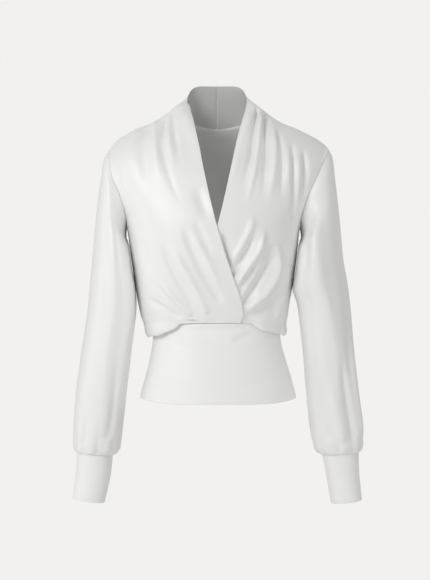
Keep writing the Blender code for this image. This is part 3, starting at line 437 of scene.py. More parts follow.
FOLDS_BACK = fold_table(
    # soft flutes that rise from the gathers at the waist
    (-104, -372, -108, -340, -112, -300, -108, -250, -3.4, 7.5, 0.05, 0.6),
    (-88, -372, -90, -330, -90, -280, -82, -225, 3, 8, 0.05, 0.6),
    (-70, -372, -72, -340, -74, -300, -70, -262, -3.4, 7, 0.05, 0.6),
    (-52, -372, -56, -320, -56, -260, -48, -190, -3, 8.5, 0.05, 0.6),
    (-36, -372, -36, -340, -33, -305, -30, -270, 3.2, 7, 0.05, 0.6),
    (-18, -372, -16, -335, -18, -290, -22, -240, -3.4, 7.5, 0.05, 0.6),
    (0, -372, 2, -345, 0, -315, -4, -285, 2.8, 6.5, 0.05, 0.6),
    (16, -372, 20, -325, 19, -265, 12, -200, -3.2, 8.5, 0.05, 0.6),
    (34, -372, 37, -340, 40, -300, 40, -262, 3.2, 7, 0.05, 0.6),
    (52, -372, 55, -330, 57, -280, 54, -230, -3.4, 7.5, 0.05, 0.6),
    (70, -372, 74, -335, 78, -300, 80, -250, 3, 7.5, 0.05, 0.6),
    (88, -372, 92, -335, 96, -295, 96, -240, -3.4, 7.5, 0.05, 0.6),
    # long drags between the shoulder blades and from the armholes
    (-150, -110, -138, -150, -120, -190, -94, -228, -2.6, 11, 0.25, 0.5),
    (-160, -150, -150, -185, -136, -215, -114, -246, 2.2, 11, 0.25, 0.5),
    (146, -112, 136, -150, 120, -188, 98, -222, -2.6, 11, 0.25, 0.5),
    (150, -155, 142, -188, 128, -218, 106, -250, 2.2, 11, 0.25, 0.5),
    (-66, -50, -70, -90, -68, -130, -60, -175, -1.4, 13, 0.4, 0.5),
    (68, -52, 70, -92, 66, -135, 58, -180, -1.4, 13, 0.4, 0.5))

# drags across the waistband
FOLDS_BAND = fold_table(
    (-60, -381.2, -22, -380.6, 20, -380, 58, -381.2, 2.4, 3.6, 0.16, 0.12),
    (-58, -391, -18, -392.5, 20, -390.5, 66, -390.5, -1.2, 3.6, 0.25, 0.1),
    (24, -414.5, 38, -407.5, 52, -401, 72, -395.5, -2.2, 6.4, 0.3, 0.3),
    (12, -406, 28, -400, 44, -395, 62, -391.5, 1.2, 6, 0.3, 0.3),
    (-105, -396, -90, -408, -70, -416, -46, -422, -1.6, 7, 0.25, 0.4),
    (22, -501, 48, -493, 72, -487, 102, -482.5, -1.4, 6.4, 0.3, 0.3),
    (-90, -470, -50, -478, -10, -479, 30, -474, 1, 12, 0.35, 0.4))

# Sleeve folds lie on the unrolled sleeve: metres round it from its outer line towards the
# front, and metres down it from the shoulder.
SLEEVE_SPAN = 0.340      # once round the unrolled sleeve
SLEEVE_DROP = 0.068      # down the unrolled sleeve for each station
FOLDS_SLEEVE_RIGHT = fold_table(
    (62, -50, 70, -150, 76, -260, 80, -370, -2, 12, 0.3, 0.45),
    (92, -60, 104, -160, 112, -280, 112, -420, -3, 12, 0.3, 0.4),
    (166, -66, 166, -88, 166, -112, 166, -136, 1.5, 12, 0.3, 0.3),
    (78, -260, 90, -350, 96, -430, 94, -510, 1.8, 13, 0.35, 0.3),
    (112, -330, 118, -400, 116, -460, 108, -520, -2.6, 10.5, 0.35, 0.2),
    (60, -420, 62, -450, 60, -490, 58, -535, -1.6, 8, 0.4, 0.15),
    (14, -100, 12, -200, 16, -320, 18, -440, -1, 13, 0.35, 0.4),
    (136, -120, 138, -220, 134, -330, 130, -450, 3, 12, 0.35, 0.4),
    (-50, -80, -56, -190, -54, -310, -50, -440, -3, 12, 0.35, 0.4),
    (-84, -70, -94, -170, -98, -280, -94, -400, 2.8, 12, 0.35, 0.4),
    (-112, -90, -118, -200, -116, -320, -110, -460, -3.4, 11, 0.35, 0.35),
    (-30, -300, -28, -370, -28, -440, -30, -510, 2.6, 10, 0.35, 0.3),
    (-142, -140, -146, -240, -142, -350, -136, -470, 2.4, 12, 0.35, 0.35))

FOLDS_SLEEVE_LEFT = fold_table(
    (96, -50, 96, -150, 86, -260, 72, -380, 4, 13, 0.3, 0.4),
    (122, -60, 124, -170, 118, -290, 104, -420, -4, 12, 0.3, 0.4),
    (26, -120, 32, -220, 40, -330, 46, -440, -3, 11, 0.35, 0.4),
    (30, -290, 30, -360, 30, -430, 28, -510, 3.6, 9.5, 0.35, 0.25),
    (62, -330, 62, -390, 60, -450, 56, -520, -4, 9, 0.35, 0.18),
    (86, -370, 86, -420, 84, -470, 80, -522, 3.4, 9, 0.4, 0.18),
    (112, -330, 116, -390, 114, -450, 106, -520, -3.6, 9.5, 0.35, 0.18),
    (8, -380, 6, -430, 4, -480, 2, -526, -2.6, 7.5, 0.4, 0.15),
    (166, -66, 166, -88, 166, -112, 166, -136, 1.5, 12, 0.3, 0.3),
    (-44, -80, -50, -190, -52, -310, -48, -440, -3, 12, 0.35, 0.4),
    (-80, -70, -88, -170, -92, -280, -90, -400, 2.8, 12, 0.35, 0.4),
    (-110, -90, -116, -200, -114, -320, -108, -460, -3.4, 11, 0.35, 0.35),
    (-140, -140, -144, -240, -140, -350, -134, -470, 2.4, 12, 0.35, 0.35))


def fold_height(folds, x, z, depth, span=None):
    """Height of the folds at places of a piece; where it goes once round, span is its width."""
    total = np.zeros_like(x)
    for k in range(len(folds["x0"])):
        fold = {name: values[k] for name, values in folds.items()}
        places = np.array([[fold["x%d" % i], fold["z%d" % i]] for i in range(4)])
        line = smooth_rows(places, FOLD_STEPS)
        best = np.full(x.shape, np.inf)
        place = np.zeros_like(x)
        for i, (a, b) in enumerate(zip(line, line[1:])):
            dx, dz = b - a
            away_x = x - a[0]
            if span:
                away_x = away_x - span * np.round(away_x / span)
            t = np.clip((away_x * dx + (z - a[1]) * dz) / (dx * dx + dz * dz), 0, 1)
            away = (away_x - t * dx) ** 2 + (z - a[1] - t * dz) ** 2
            place = np.where(away < best, (i + t) / (len(line) - 1), place)
            best = np.minimum(best, away)
        fade = smoothstep(0, fold["start"], place) * smoothstep(1.0, 1 - fold["end"], place)
        total += fold["height"] * np.exp(-best / fold["width"] ** 2) * fade
    return total * depth


# Gathers: short ridges that start at a seam, by the place along it (radians round the
# waist, or round the sleeve), with their height, half width and length.
GATHERS_FRONT_RIGHT = table(
    "turn height width length",
    (-0.26, -0.0021, 0.052, 0.0052), (-0.02, -0.0016, 0.048, 0.0044),
    (-0.15, 0.001, 0.034, 0.006), (-0.4, 0.0012, 0.038, 0.008), (0.13, 0.0007, 0.04, 0.005),
    (0.27, -0.0005, 0.04, 0.0045), (-0.54, -0.001, 0.03, 0.014), (-0.63, 0.001, 0.034, 0.016),
    (-0.8, -0.0008, 0.045, 0.02), (-0.98, 0.0007, 0.055, 0.024), (-1.26, -0.0006, 0.055, 0.022))
GATHERS_FRONT_LEFT = table(
    "turn height width length",
    (0.5, -0.0008, 0.034, 0.014), (0.66, 0.001, 0.04, 0.02), (0.82, -0.0009, 0.042, 0.018),
    (0.98, 0.001, 0.05, 0.024), (1.16, -0.0012, 0.05, 0.022), (1.34, 0.001, 0.05, 0.024))
BACK_GATHERS, SLEEVE_GATHERS = 26, 20
# first and last place along the seam, mean height and mean length
BACK_GATHER_SIZES = (-1.45, 1.45, 0.0013, 0.024)
SLEEVE_GATHER_SIZES = (-math.pi, math.pi, 0.0019, 0.034)
GATHER_STEP = 2.399      # radians that keep the gathers' heights and lengths uneven


def uneven_gathers(count, start, end, height, length):
    """A table of gathers along a seam, uneven in place, height and length."""
    k = np.arange(count)

    def waver(middle, swing, rate):
        return middle + swing * np.sin(k * GATHER_STEP * rate)

    return {"turn": start + (end - start) * (k + waver(0.5, 0.28, 1.0)) / count,
            "height": np.where(k % 2, -height, height) * waver(0.75, 0.35, 2.3),
            "width": (end - start) / count * waver(0.42, 0.10, 1.7),
            "length": length * (0.70 + 0.45 * np.sin(k * GATHER_STEP * 0.7 + 1) ** 2)}


def gather_height(gathers, turn, away, round_trip=False):
    """Height of the gathers at an angle and at a distance away from their seam."""
    total = np.zeros(np.broadcast(turn, away).shape)
    for at, height, width, length in zip(*gathers.values()):
        off = turn - at
        if round_trip:
            off = (off + math.pi) % (2 * math.pi) - math.pi
        total += height * np.exp(-(off / width) ** 2) * np.exp(-(away / length) ** 2)
    return total


# ---------------------------------------------------------------- grids and walls
EVEN_PASSES = 60         # how often rows are evened out
LEAST_WALL = 0.12        # the share of a wall's thickness that is left at its free edge


def grid_normals(points, closed=False):
    """Unit normals of a grid of points, rows first, from its central differences."""
    if closed:
        across = np.roll(points, -1, 1) - np.roll(points, 1, 1)
    else:
        across = np.gradient(points, axis=1)
    along = np.gradient(points, axis=0)
    return unit(np.cross(across, along))


def outward(normals, facing):
    """Turn a grid's normals so that its middle rows look the way of facing along Y."""
    middle = normals[len(normals) // 3:, :, 1]
    return normals * facing * np.sign(np.sum(middle))


def row_lengths(points):
    """Distance of every point from its row's start, and from its end."""
    step = np.linalg.norm(np.diff(points, axis=1), axis=-1)
    along = np.concatenate([np.zeros((len(points), 1)), np.cumsum(step, axis=1)], axis=1)
    return along, along[:, -1:] - along


def column_lengths(points):
    """Distance of every point from its column's first row, and from its last."""
    down, up = row_lengths(np.swapaxes(points, 0, 1))
    return down.T, up.T


def even_out(points, at, to_seam, band, passes=EVEN_PASSES):
    """Soften the rows within a band of stations.  to_seam is 0 at a sewn side, which stays,
    and 1 well away from it."""
    rows = smoothstep(band[0], band[1], at) * smoothstep(band[3], band[2], at)
    share = rows[1:-1, None, None] * smoothstep(0, 1, to_seam)[None, :, None]
    for _ in range(passes):
        middle = (points[:-2] + 2 * points[1:-1] + points[2:]) / 4
        points = points.copy()
        points[1:-1] += (middle - points[1:-1]) * share
    return points


def rounded(wall, distance):
    """A wall's thickness near its free edge, which is half round."""
    share = np.clip(1 - distance / (wall / 2), 0, 1)
    return wall * np.sqrt(np.clip(1 - share ** 2, 0.0, 1.0)).clip(LEAST_WALL, 1)


def seam_dip(depth, distance, reach=0.0014):
    return depth * np.exp(-(distance / reach) ** 2)


def add_object(name, data):
    """A new object in the scene's collection."""
    thing = bpy.data.objects.new(name, data)
    bpy.context.scene.collection.objects.link(thing)
    return thing


def add_wall(name, outer, inner, closed):
    """A closed mesh from two grids of points: the outer face, the inner face and the rims.
    Its UV map runs in metres along the rows and the columns, as the cloth's threads do."""
    rows, columns = outer.shape[:2]
    count = rows * columns
    vertices = np.concatenate([outer.reshape(-1, 3), inner.reshape(-1, 3)])
    last = columns if closed else columns - 1
    r, c = np.meshgrid(np.arange(rows - 1), np.arange(last), indexing="ij")
    a = r * columns + c
    b = r * columns + (c + 1) % columns
    quads = np.stack([a, b, b + columns, a + columns], -1).reshape(-1, 4)

    def rim(first, second):
        return np.stack([first, first + count, second + count, second], -1)

    edge = np.arange(last)
    after = (edge + 1) % columns
    low = (rows - 1) * columns
    rims = [rim(edge, after), rim(low + after, low + edge)]
    if not closed:
        side = np.arange(rows - 1) * columns
        right = side + columns - 1
        rims += [rim(side + columns, side), rim(right, right + columns)]
    faces = np.concatenate([quads, quads[:, ::-1] + count] + rims)
    mesh = bpy.data.meshes.new(name)
    mesh.from_pydata(vertices.tolist(), [], faces.tolist())
    along, down = row_lengths(outer)[0], column_lengths(outer)[0]
    middle = along.mean(axis=0, keepdims=True)
    plain = np.stack([np.broadcast_to(middle, along.shape), down], -1).reshape(-1, 2)
    uv = np.concatenate([plain, plain])[faces]
    if closed:
        wrap = uv[:, :, 0].max(axis=1) - uv[:, :, 0].min(axis=1) > middle.max() / 2
        near = uv[:, :, 0] < middle.max() / 2
        uv[:, :, 0] += (wrap[:, None] & near) * (middle.max() + middle[0, 1])
    mesh.uv_layers.new(name="threads").data.foreach_set("uv", uv.ravel())
    if signed_volume(vertices, faces) < 0:
        mesh.flip_normals()
    mesh.shade_smooth()
    mesh.update()
    return add_object(name, mesh)


def signed_volume(vertices, quads):
    a, b, c, d = (vertices[quads[:, k]] for k in range(4))
    first = np.einsum("ij,ij->i", a, np.cross(b, c))
    second = np.einsum("ij,ij->i", a, np.cross(c, d))
    return (first.sum() + second.sum()) / 6


# ---------------------------------------------------------------- the bodice
# Stations from the waist to the centre back of the collar: the free edge at (x, y, z) for
# the wearer's left front, the arch of the collar between its edge and its seam, and the
# number of the solid's rows up to the next station.
STATIONS = table(
    "at x y z arch_x arch_y arch_z rows",
    (0, -0.0515, -0.1, -0.366, 0, 0, 0, 2),
    (1, -0.048, -0.107, -0.35, 0, 0, 0, 4),
    (2, -0.0234, -0.121, -0.2818, 0, 0, 0, 4),
    (3, 0.001, -0.115, -0.2017, 0, 0, 0, 4),
    (4, 0.0115, -0.105, -0.159, 0, 0, 0, 4),
    (5, 0.0208, -0.09, -0.1162, 0, 0, 0, 4),
    (6, 0.0275, -0.077, -0.085, 0, -0.018, 0.006, 2),
    (7, 0.0315, -0.069, -0.0665, 0, -0.016, 0.008, 2),
    (8, 0.035, -0.0615, -0.0501, 0, -0.014, 0.01, 2),
    (9, 0.0435, -0.043, -0.0173, 0.001, -0.01, 0.012, 1),
    (10, 0.0515, -0.015, 0.012, 0.0045, -0.004, 0.0095, 2),
    (11, 0.0555, 0.018, 0.0354, 0.0045, 0, 0.008, 3),
    (12, 0.049, 0.047, 0.0575, 0.0035, 0.003, 0.0015, 2),
    (12.6, 0.03, 0.0612, 0.0662, 0.0005, 0.002, 0, 2),
    (13, 0, 0.067, 0.0667, 0, 0.002, 0, 0))
SIDE_TOP, TIP_AT, NECK_AT, BACK_AT = 3, 6, 10, 13
SIDE_Z = table("at z", (0, -0.376), (1, -0.345), (2, -0.275), (3, UNDERARM_Z))

# where one shape of a front gives way to the next
EDGE_LEAVES = (5.0, 7.5)            # stations: the free edge leaves the torso's round
ARCH_STARTS = (7.0, 9.6)            # stations: the rows start to arch over the collar
UPPER_ENDS = (9.0, 6.0)             # stations: the upper front comes down to the collar
UPPER_SIDE = (1.0, 0.55)            # shares of a row: it comes down to the side seam
UNDERARM_BAND = (1.0, 2.2, 4.0, 5.2)            # stations: the torso widens to the armhole
NECK_BAND = (-0.97, -0.80, 0.80, 0.97)          # shares of the back's width: below the neck
TIP_BAND = (4.9, 5.6, 6.6, 7.6)     # stations: the rows turn over the shoulder tip
TIGHT_HEIGHT = (0.060, 0.012)       # above the waist seam: tight cloth straightens
CROSSED = (-0.190, -0.215)          # heights: the fronts lie over each other
COVERED = (0.014, 0.002)            # across the crossing edge: the lower front's ridges end
COLLAR_PLAIN = (11.0, 10.2)         # stations: no folds further up the collar
SEAM_PLAIN = (1.0, 0.97)            # shares of a row: folds end at its sewn side
BACK_PLAIN = (1.0, 0.93)            # the same for the folds of the back

# evening out sets in over these parts of a row next to its sewn side
UNDERARM_HOLD, TIP_HOLD, BACK_HOLD = 0.20, 0.0625, 1 / 4.5
NECK_HOLD = 0.40                    # stations below the shoulder
NECK_PASSES = 160

CROSSING = 4             # the first stations, where the right front's edge crosses the left
# exponents with which a surface leaves its sewn lines to follow the torso's round
EDGE_FADE, SEAM_FADE, BACK_TOP_FADE, BACK_SIDE_FADE = 2, 4, 5, 8

# gathers start this far from the seam, rise over this length, and end at the free edge
GATHER_START, GATHER_RISE, GATHER_EDGE = 0.004, 0.006, 0.02

# The bodice falls over the waist seam and turns in to it.  Rows from the seam outward: how
# far down as a share of the fall, how far out at no fall and at a full one, and where the
# same row lies where the cloth runs straight up from the seam.
FALL = table(
    "down out swing plain_out plain_up",
    (0, -0.0009, 0, -0.0009, 0.0006),
    (0, 0.0008, 0.0006, 0.0004, 0.0002),
    (0.55, 0.0012, 0.003, 0.0018, 0.0012),
    (1, 0.0018, 0.0072, 0.0032, 0.0034),
    (0.7, 0.0022, 0.012, 0.0044, 0.0062))
FALL_FOLDS = (0.0, 0.25, 0.6, 0.9, 1.0)        # how much of the folds each of these rows has
WALL_ROWS = (2, 6)       # rows before and after the turn: the wall gets its full thickness
TIGHT_OUT = 0.0028       # how far out the tight cloth starts above the seam
FULL_FALL = 0.020
PLAIN_FALL = 0.0065      # under this fall the cloth starts to run straight up
FALL_LIFT = 0.0004
TIGHT_SLOPE = 0.30       # how fast the tight cloth leans out above the seam
OVER_RIM = 0.0006        # the upper front's lower rim starts this much further out
# how far the bodice falls past the seam, by the angle from the centre front
FALL_FRONT = table(
    "angle right left",
    (0, 0.0004, 0.0004), (0.4, 0.0008, 0.001), (0.48, 0.0018, 0.0026), (0.56, 0.005, 0.0055),
    (0.73, 0.0125, 0.0118), (1.03, 0.019, 0.014), (1.58, 0.02, 0.017))
FALL_BACK = table(
    "angle right left",
    (1.56, 0.02, 0.017), (2.1, 0.013, 0.013), (2.7, 0.009, 0.009), (3.15, 0.008, 0.008))


def fall(angle):
    turn = np.abs(angle)
    return np.where(turn < math.pi / 2, read_side(FALL_FRONT, "angle", turn, angle),
                    read_side(FALL_BACK, "angle", turn, angle))


def fall_rows(angle, out):
    """Rows of the bodice that hang over the waist seam, from the seam outward."""
    seam, normal = waist_points(angle)
    drop = fall(angle)
    rows = []
    loose = smoothstep(0, PLAIN_FALL, drop)
    for k, down in enumerate(FALL["down"]):
        away = FALL["out"][k] + FALL["swing"][k] * drop / FULL_FALL
        away = loose * away + (1 - loose) * FALL["plain_out"][k] + out
        if k == 0:
            away = away + OVER_RIM * out / LAY
        up = loose * (FALL_LIFT - down * drop) + (1 - loose) * FALL["plain_up"][k]
        place = seam + normal * away[..., None]
        place[..., 2] += up
        rows.append(place)
    return np.array(rows)


# how much a row's points crowd towards its sewn end, where the cloth turns away
CROWD = table(
    "at share",
    (0, 0.93), (2.6, 0.9), (3.6, 0.45), (5.2, 0.45), (6.2, 0.8), (9, 0.8), (13, 0.8))


def station_rows():
    """The place of every grid row along the stations."""
    at = []
    for start, end, rows in zip(STATIONS["at"], STATIONS["at"][1:], STATIONS["rows"]):
        at.extend(np.linspace(start, end, int(rows) * ROWS_EACH, endpoint=False))
    return np.array(at + [float(BACK_AT)])


def outer_line(side, at, facing):
    """The sewn boundary of a front, or of the back's side: side seam, armhole, shoulder
    seam and neck seam, with the normals there."""
    points, normals = np.zeros((len(at), 3)), np.zeros((len(at), 3))
    low, hole = at < SIDE_TOP, (at >= SIDE_TOP) & (at < TIP_AT)
    top, collar = (at >= TIP_AT) & (at < NECK_AT), at >= NECK_AT
    z = smooth_read(SIDE_Z, "at", "z", at[low])
    points[low] = np.stack([side * half_width(side, z), np.zeros_like(z), z], -1)
    normals[low] = (side, 0, 0)
    angle = -facing * math.pi * (TIP_AT - at[hole]) / (TIP_AT - SIDE_TOP)
    points[hole] = armhole(side, angle)
    normals[hole] = armhole_normals(side, angle, 1)
    points[top], normals[top] = shoulder(side, (at[top] - TIP_AT) / (NECK_AT - TIP_AT))
    points[collar], normals[collar] = neck(side, (at[collar] - NECK_AT) / (BACK_AT - NECK_AT))
    points[~collar, 1] += facing * GAP / 2
    points[collar] += np.array([0, GAP / 4, -GAP / 2]) * facing
    return points, normals


def wrap_edge_x(z):
    """Where the right front's edge crosses the left front, seen from the front."""
    low = {name: values[:CROSSING] for name, values in STATIONS.items()}
    return smooth_read(low, "z", "x", z)


def ring_angle(points):
    """The section angle of points on the front of the torso."""
    x, z = points[..., 0], points[..., 2]
    across = np.clip(np.abs(x) / half_width(x, z), 0, 1) ** ROUND
    return np.sign(x) * np.arctan2(np.sqrt(across), np.sqrt(1 - across))


def front_surface(side, at, u):
    """The plain surface of a front: rows from the free edge (u 0) to the seam (u 1)."""
    outer, seam_normals = outer_line(side, at, -1)
    edge = read_points(STATIONS, "at", at, side)
    edge[-1, 0] = side * GAP / 2
    outer[-1, 0] = side * GAP / 2

    # seen from the front, a row is a straight line whose points crowd towards the seam
    round_end = smooth_read(CROWD, "at", "share", at)[:, None]
    share = (u * (1 - round_end) + np.sin(u * math.pi / 2) * round_end)[..., None]
    flat = edge[:, None] * (1 - share) + outer[:, None] * share
    body = flat.copy()
    body[..., 1] = torso_y(flat[..., 0], flat[..., 2], -1)
    edge_miss = (edge[:, 1] - body[:, 0, 1])[:, None]
    seam_miss = (outer[:, 1] - body[:, -1, 1])[:, None]
    keep = smoothstep(*EDGE_LEAVES, at)[:, None]
    body[..., 1] += edge_miss * keep * (1 - u) ** EDGE_FADE + seam_miss * u ** SEAM_FADE

    # at the neck a row arches from the free edge to the seam
    even = u[None, :, None]
    arch = read_points(STATIONS, "at", at, side, "arch_")[:, None]
    rolled = edge[:, None] * (1 - even) + outer[:, None] * even + 4 * even * (1 - even) * arch
    blend = smoothstep(*ARCH_STARTS, at)[:, None, None]
    points = body * (1 - blend) + rolled * blend
    points = even_out(points, at, (1 - u) / UNDERARM_HOLD, UNDERARM_BAND)
    points = even_out(points, at, (1 - u) / TIP_HOLD, TIP_BAND)

    # where the bodice is pulled tight it rises straight from the waist seam
    low = at < SIDE_TOP
    angle = ring_angle(points[low])
    seam, away = waist_points(angle)
    height = points[low][..., 2] - seam[..., 2]
    tight = seam + away * (TIGHT_OUT + TIGHT_SLOPE * height)[..., None]
    tight[..., 2] = points[low][..., 2]
    pull = (1 - smoothstep(0, PLAIN_FALL, fall(angle))) * smoothstep(*TIGHT_HEIGHT, height)
    points[low] += (tight - points[low]) * pull[..., None]
    return points, seam_normals


def hang_below(hang, points):
    """A panel's rows over the waist seam, joined to its other rows, and their number."""
    hung = smooth_rows(np.concatenate([hang, points[:1]]), TURN_STEPS)[:-1]
    return np.concatenate([hung, points]), len(hung)


def level(normals):
    """Normals at a side seam, which lie in the seam's plane."""
    return unit(normals * np.array([1, 0, 1]))


def gathered(points, normals, gathers, turn, fade, sizes):
    """Add the gathers that rise from the waist seam."""
    away = column_lengths(points)[0]
    wave = gather_height(gathers, turn[None], np.maximum(away - GATHER_START, 0))
    wave *= smoothstep(0.0, GATHER_RISE, away) * fade
    return points + normals * (wave * sizes.gathers)[..., None]


def make_front(name, side, over, folds, gathers, sizes):
    """One front with its half of the collar.  The right one lies over the left one, which
    follows the right one's troughs where it is covered."""
    at = station_rows()
    u = crowded(FRONT_COLUMNS)
    base, seam_normals = front_surface(side, at, u)
    normals = outward(grid_normals(base), -1)
    lay = LAY * smoothstep(*UPPER_SIDE, u) if over else np.zeros_like(u)
    points = base + normals * (lay * smoothstep(*UPPER_ENDS, at)[:, None])[..., None]

    # below, the cloth falls over the waist seam and turns in to it
    turn = ring_angle(base[0])
    turn[-1] = side * math.pi / 2
    hang = fall_rows(turn, lay)
    hang[:, -1, 1] -= GAP / 2
    points, turned = hang_below(hang, points)

    # folds
    x, z = points[..., 0], points[..., 2]
    lift = fold_height(folds, x, z, sizes.folds)
    if not over:
        covered = smoothstep(*COVERED, x + wrap_edge_x(z)) * smoothstep(*CROSSED, z)
        above = fold_height(FOLDS_RIGHT, x, z, sizes.folds)
        lift = np.minimum(lift, 0) + np.maximum(lift, 0) * (1 - covered) \
            + np.minimum(above, 0) * covered
    stations = np.concatenate([np.zeros(turned), at])
    lift *= smoothstep(*SEAM_PLAIN, u) * smoothstep(*COLLAR_PLAIN, stations)[:, None]
    fall_share = np.interp(np.arange(turned) / TURN_STEPS, range(len(FALL_FOLDS)), FALL_FOLDS)
    lift[:turned] *= fall_share[:, None]
    normals = outward(grid_normals(points), -1)
    points = points + normals * lift[..., None]
    normals = outward(grid_normals(points), -1)
    normals[turned:, -1] = seam_normals
    normals[:turned, -1] = level(normals[:turned, -1])
    normals[-1] = unit(normals[-1] * np.array([0, 1, 1]))
    fade = smoothstep(0.0, GATHER_EDGE, u) * smoothstep(*SEAM_PLAIN, u)
    points = gathered(points, normals, gathers, turn, fade, sizes)
    # the fronts' inner faces get the darker crepe: painted shade inside the collar
    paint_shade_inside(finish_panel(name, points, normals, turned, sizes, free_start=True))


def finish_panel(name, points, normals, turned, sizes, free_start):
    """Give a bodice panel its wall and its pressed seams.  Its rows end at a seam, and start
    at a rounded free edge or at another seam."""
    start, end = row_lengths(points)
    dip = np.maximum(seam_dip(sizes.seam_dip, end),
                     seam_dip(sizes.seam_dip, column_lengths(points)[1]))
    if not free_start:
        dip = np.maximum(dip, seam_dip(sizes.seam_dip, start))
    rows = np.arange(len(points))[:, None]
    wall = sizes.turned_wall + (sizes.wall - sizes.turned_wall) * smoothstep(
        turned - WALL_ROWS[0], turned + WALL_ROWS[1], rows) * np.ones(points.shape[1])
    spare = wall - rounded(wall, start) if free_start else 0.0
    outer = points - normals * (dip + spare / 2)[..., None]
    inner = outer - normals * (wall - dip / 2 - spare)[..., None]
    thing = add_wall("cloth_" + name, outer, inner, False)
    dress(thing, name, "crepe")
    return thing


def back_surface(rows, across):
    """The plain surface of the back, with the normals along its sewn edges."""
    top, top_normals = np.zeros((len(across), 3)), np.zeros((len(across), 3))
    for side in (-1, 1):
        mine = (across <= 0) if side < 0 else (across > 0)
        at = TIP_AT + (1 - np.abs(across[mine])) * (BACK_AT - TIP_AT)
        top[mine], top_normals[mine] = outer_line(side, at, 1)
    turn = across * math.pi / 2
    base_z = SIDE_Z["z"][0]
    x = half_width(turn, base_z) * np.sign(turn) * np.abs(np.sin(turn)) ** (2 / ROUND)
    bottom = np.stack([x, torso_y(x, np.full_like(x, base_z), 1), np.full_like(x, base_z)], -1)
    start, start_normals = outer_line(-1, rows, 1)
    end, end_normals = outer_line(1, rows, 1)
    start[-1], end[-1] = top[0], top[-1]
    bottom[0], bottom[-1] = start[0], end[0]
    flat = patch(bottom, top, start, end, (across + 1) / 2)
    deep = flat.copy()
    deep[..., 1] = torso_y(flat[..., 0], flat[..., 2], 1)
    fade_rows = np.linspace(0, 1, len(rows))[:, None]
    near_side = np.abs(across)[None] ** BACK_SIDE_FADE
    deep[..., 1] += (top - deep[-1])[None, :, 1] * fade_rows ** BACK_TOP_FADE * (1 - near_side)
    miss = np.where(across[None] < 0, (start - deep[:, 0])[:, 1:2], (end - deep[:, -1])[:, 1:2])
    deep[..., 1] += miss * near_side
    points = even_out(deep, rows, (1 - np.abs(across)) / BACK_HOLD, UNDERARM_BAND)
    points = even_out(np.swapaxes(points, 0, 1), across, (TIP_AT - rows) / NECK_HOLD,
                      NECK_BAND, NECK_PASSES)
    return np.swapaxes(points, 0, 1), start_normals, end_normals, top_normals


def patch(bottom, top, start, end, s):
    """A surface between four boundary lines: rows run from bottom to top."""
    s = s[None, :, None]
    t = np.linspace(0, 1, start.shape[0])[:, None, None]
    corners = ((1 - s) * (1 - t) * bottom[0] + s * (1 - t) * bottom[-1]
               + (1 - s) * t * top[0] + s * t * top[-1])
    return (1 - t) * bottom[None] + t * top[None] + (1 - s) * start[:, None] \
        + s * end[:, None] - corners


def make_back(sizes):
    """The back in one piece, gathered into the waistband."""
    at = station_rows()
    across = 2 * crowded(BACK_COLUMNS) - 1
    base, start_normals, end_normals, top_normals = back_surface(at[at <= TIP_AT], across)
    normals = outward(grid_normals(base), 1)
    lift = fold_height(FOLDS_BACK, base[..., 0], base[..., 2], sizes.folds)
    points = base + normals * (lift * smoothstep(*BACK_PLAIN, np.abs(across)))[..., None]

    hang = fall_rows(np.sign(across) * math.pi - across * math.pi / 2, np.zeros_like(across))
    hang[:, (0, -1), 1] += GAP / 2
    points, turned = hang_below(hang, points)
    normals = outward(grid_normals(points), 1)
    normals[turned:, 0], normals[turned:, -1] = start_normals, end_normals
    for column in (0, -1):
        normals[:turned, column] = level(normals[:turned, column])
    normals[-1] = top_normals
    gathers = uneven_gathers(BACK_GATHERS, *BACK_GATHER_SIZES)
    points = gathered(points, normals, gathers, across * math.pi / 2,
                      smoothstep(*SEAM_PLAIN, np.abs(across)), sizes)
    finish_panel("back", points, normals, turned, sizes, free_start=False)


# ---------------------------------------------------------------- sleeves and cuffs
# Sections of a sleeve and a cuff from their upper ends down: on each side the outermost
# and the innermost point, how far ahead (-) or behind both lie, and the half depth.
SECTIONS = ("at right_outer_x right_outer_z right_inner_x right_inner_z "
            "left_outer_x left_outer_z left_inner_x left_inner_z outer_y inner_y half_depth")

SLEEVE = table(
    SECTIONS,
    (0, 0.2, -0.06, 0.166, -0.205, 0.206, -0.057, 0.153, -0.205, 0, 0, 0.05),
    (0.5, 0.209, -0.078, 0.1675, -0.212, 0.214, -0.076, 0.1545, -0.212, 0, 0, 0.054),
    (1, 0.214, -0.11, 0.1672, -0.222, 0.218, -0.11, 0.155, -0.222, 0, -0.004, 0.055),
    (2, 0.2235, -0.18, 0.1602, -0.245, 0.226, -0.18, 0.1487, -0.245, -0.001, -0.029, 0.053),
    (3, 0.231, -0.262, 0.1546, -0.285, 0.2335, -0.262, 0.143, -0.285, -0.002, -0.038, 0.054),
    (3.5, 0.235, -0.303, 0.1496, -0.315, 0.2405, -0.303, 0.1382, -0.315, -0.003, -0.036, 0.054),
    (4, 0.2385, -0.345, 0.148, -0.345, 0.246, -0.345, 0.1468, -0.345, -0.004, -0.03, 0.054),
    (5, 0.25, -0.43, 0.157, -0.43, 0.253, -0.43, 0.1572, -0.43, -0.008, -0.022, 0.053),
    (6, 0.26, -0.51, 0.1665, -0.51, 0.262, -0.51, 0.1642, -0.51, -0.013, -0.018, 0.051),
    (7, 0.264, -0.575, 0.1735, -0.575, 0.27, -0.575, 0.1712, -0.575, -0.017, -0.018, 0.047),
    (8, 0.264, -0.605, 0.1785, -0.609, 0.2675, -0.605, 0.1795, -0.609, -0.019, -0.019, 0.041))

CUFF = table(
    SECTIONS,
    (0, 0.2575, -0.613, 0.191, -0.619, 0.26, -0.613, 0.193, -0.618, -0.019, -0.019, 0.033),
    (1, 0.259, -0.65, 0.195, -0.656, 0.261, -0.65, 0.2, -0.656, -0.021, -0.021, 0.0315),
    (2, 0.265, -0.7, 0.2062, -0.708, 0.266, -0.7025, 0.209, -0.709, -0.024, -0.024, 0.029))

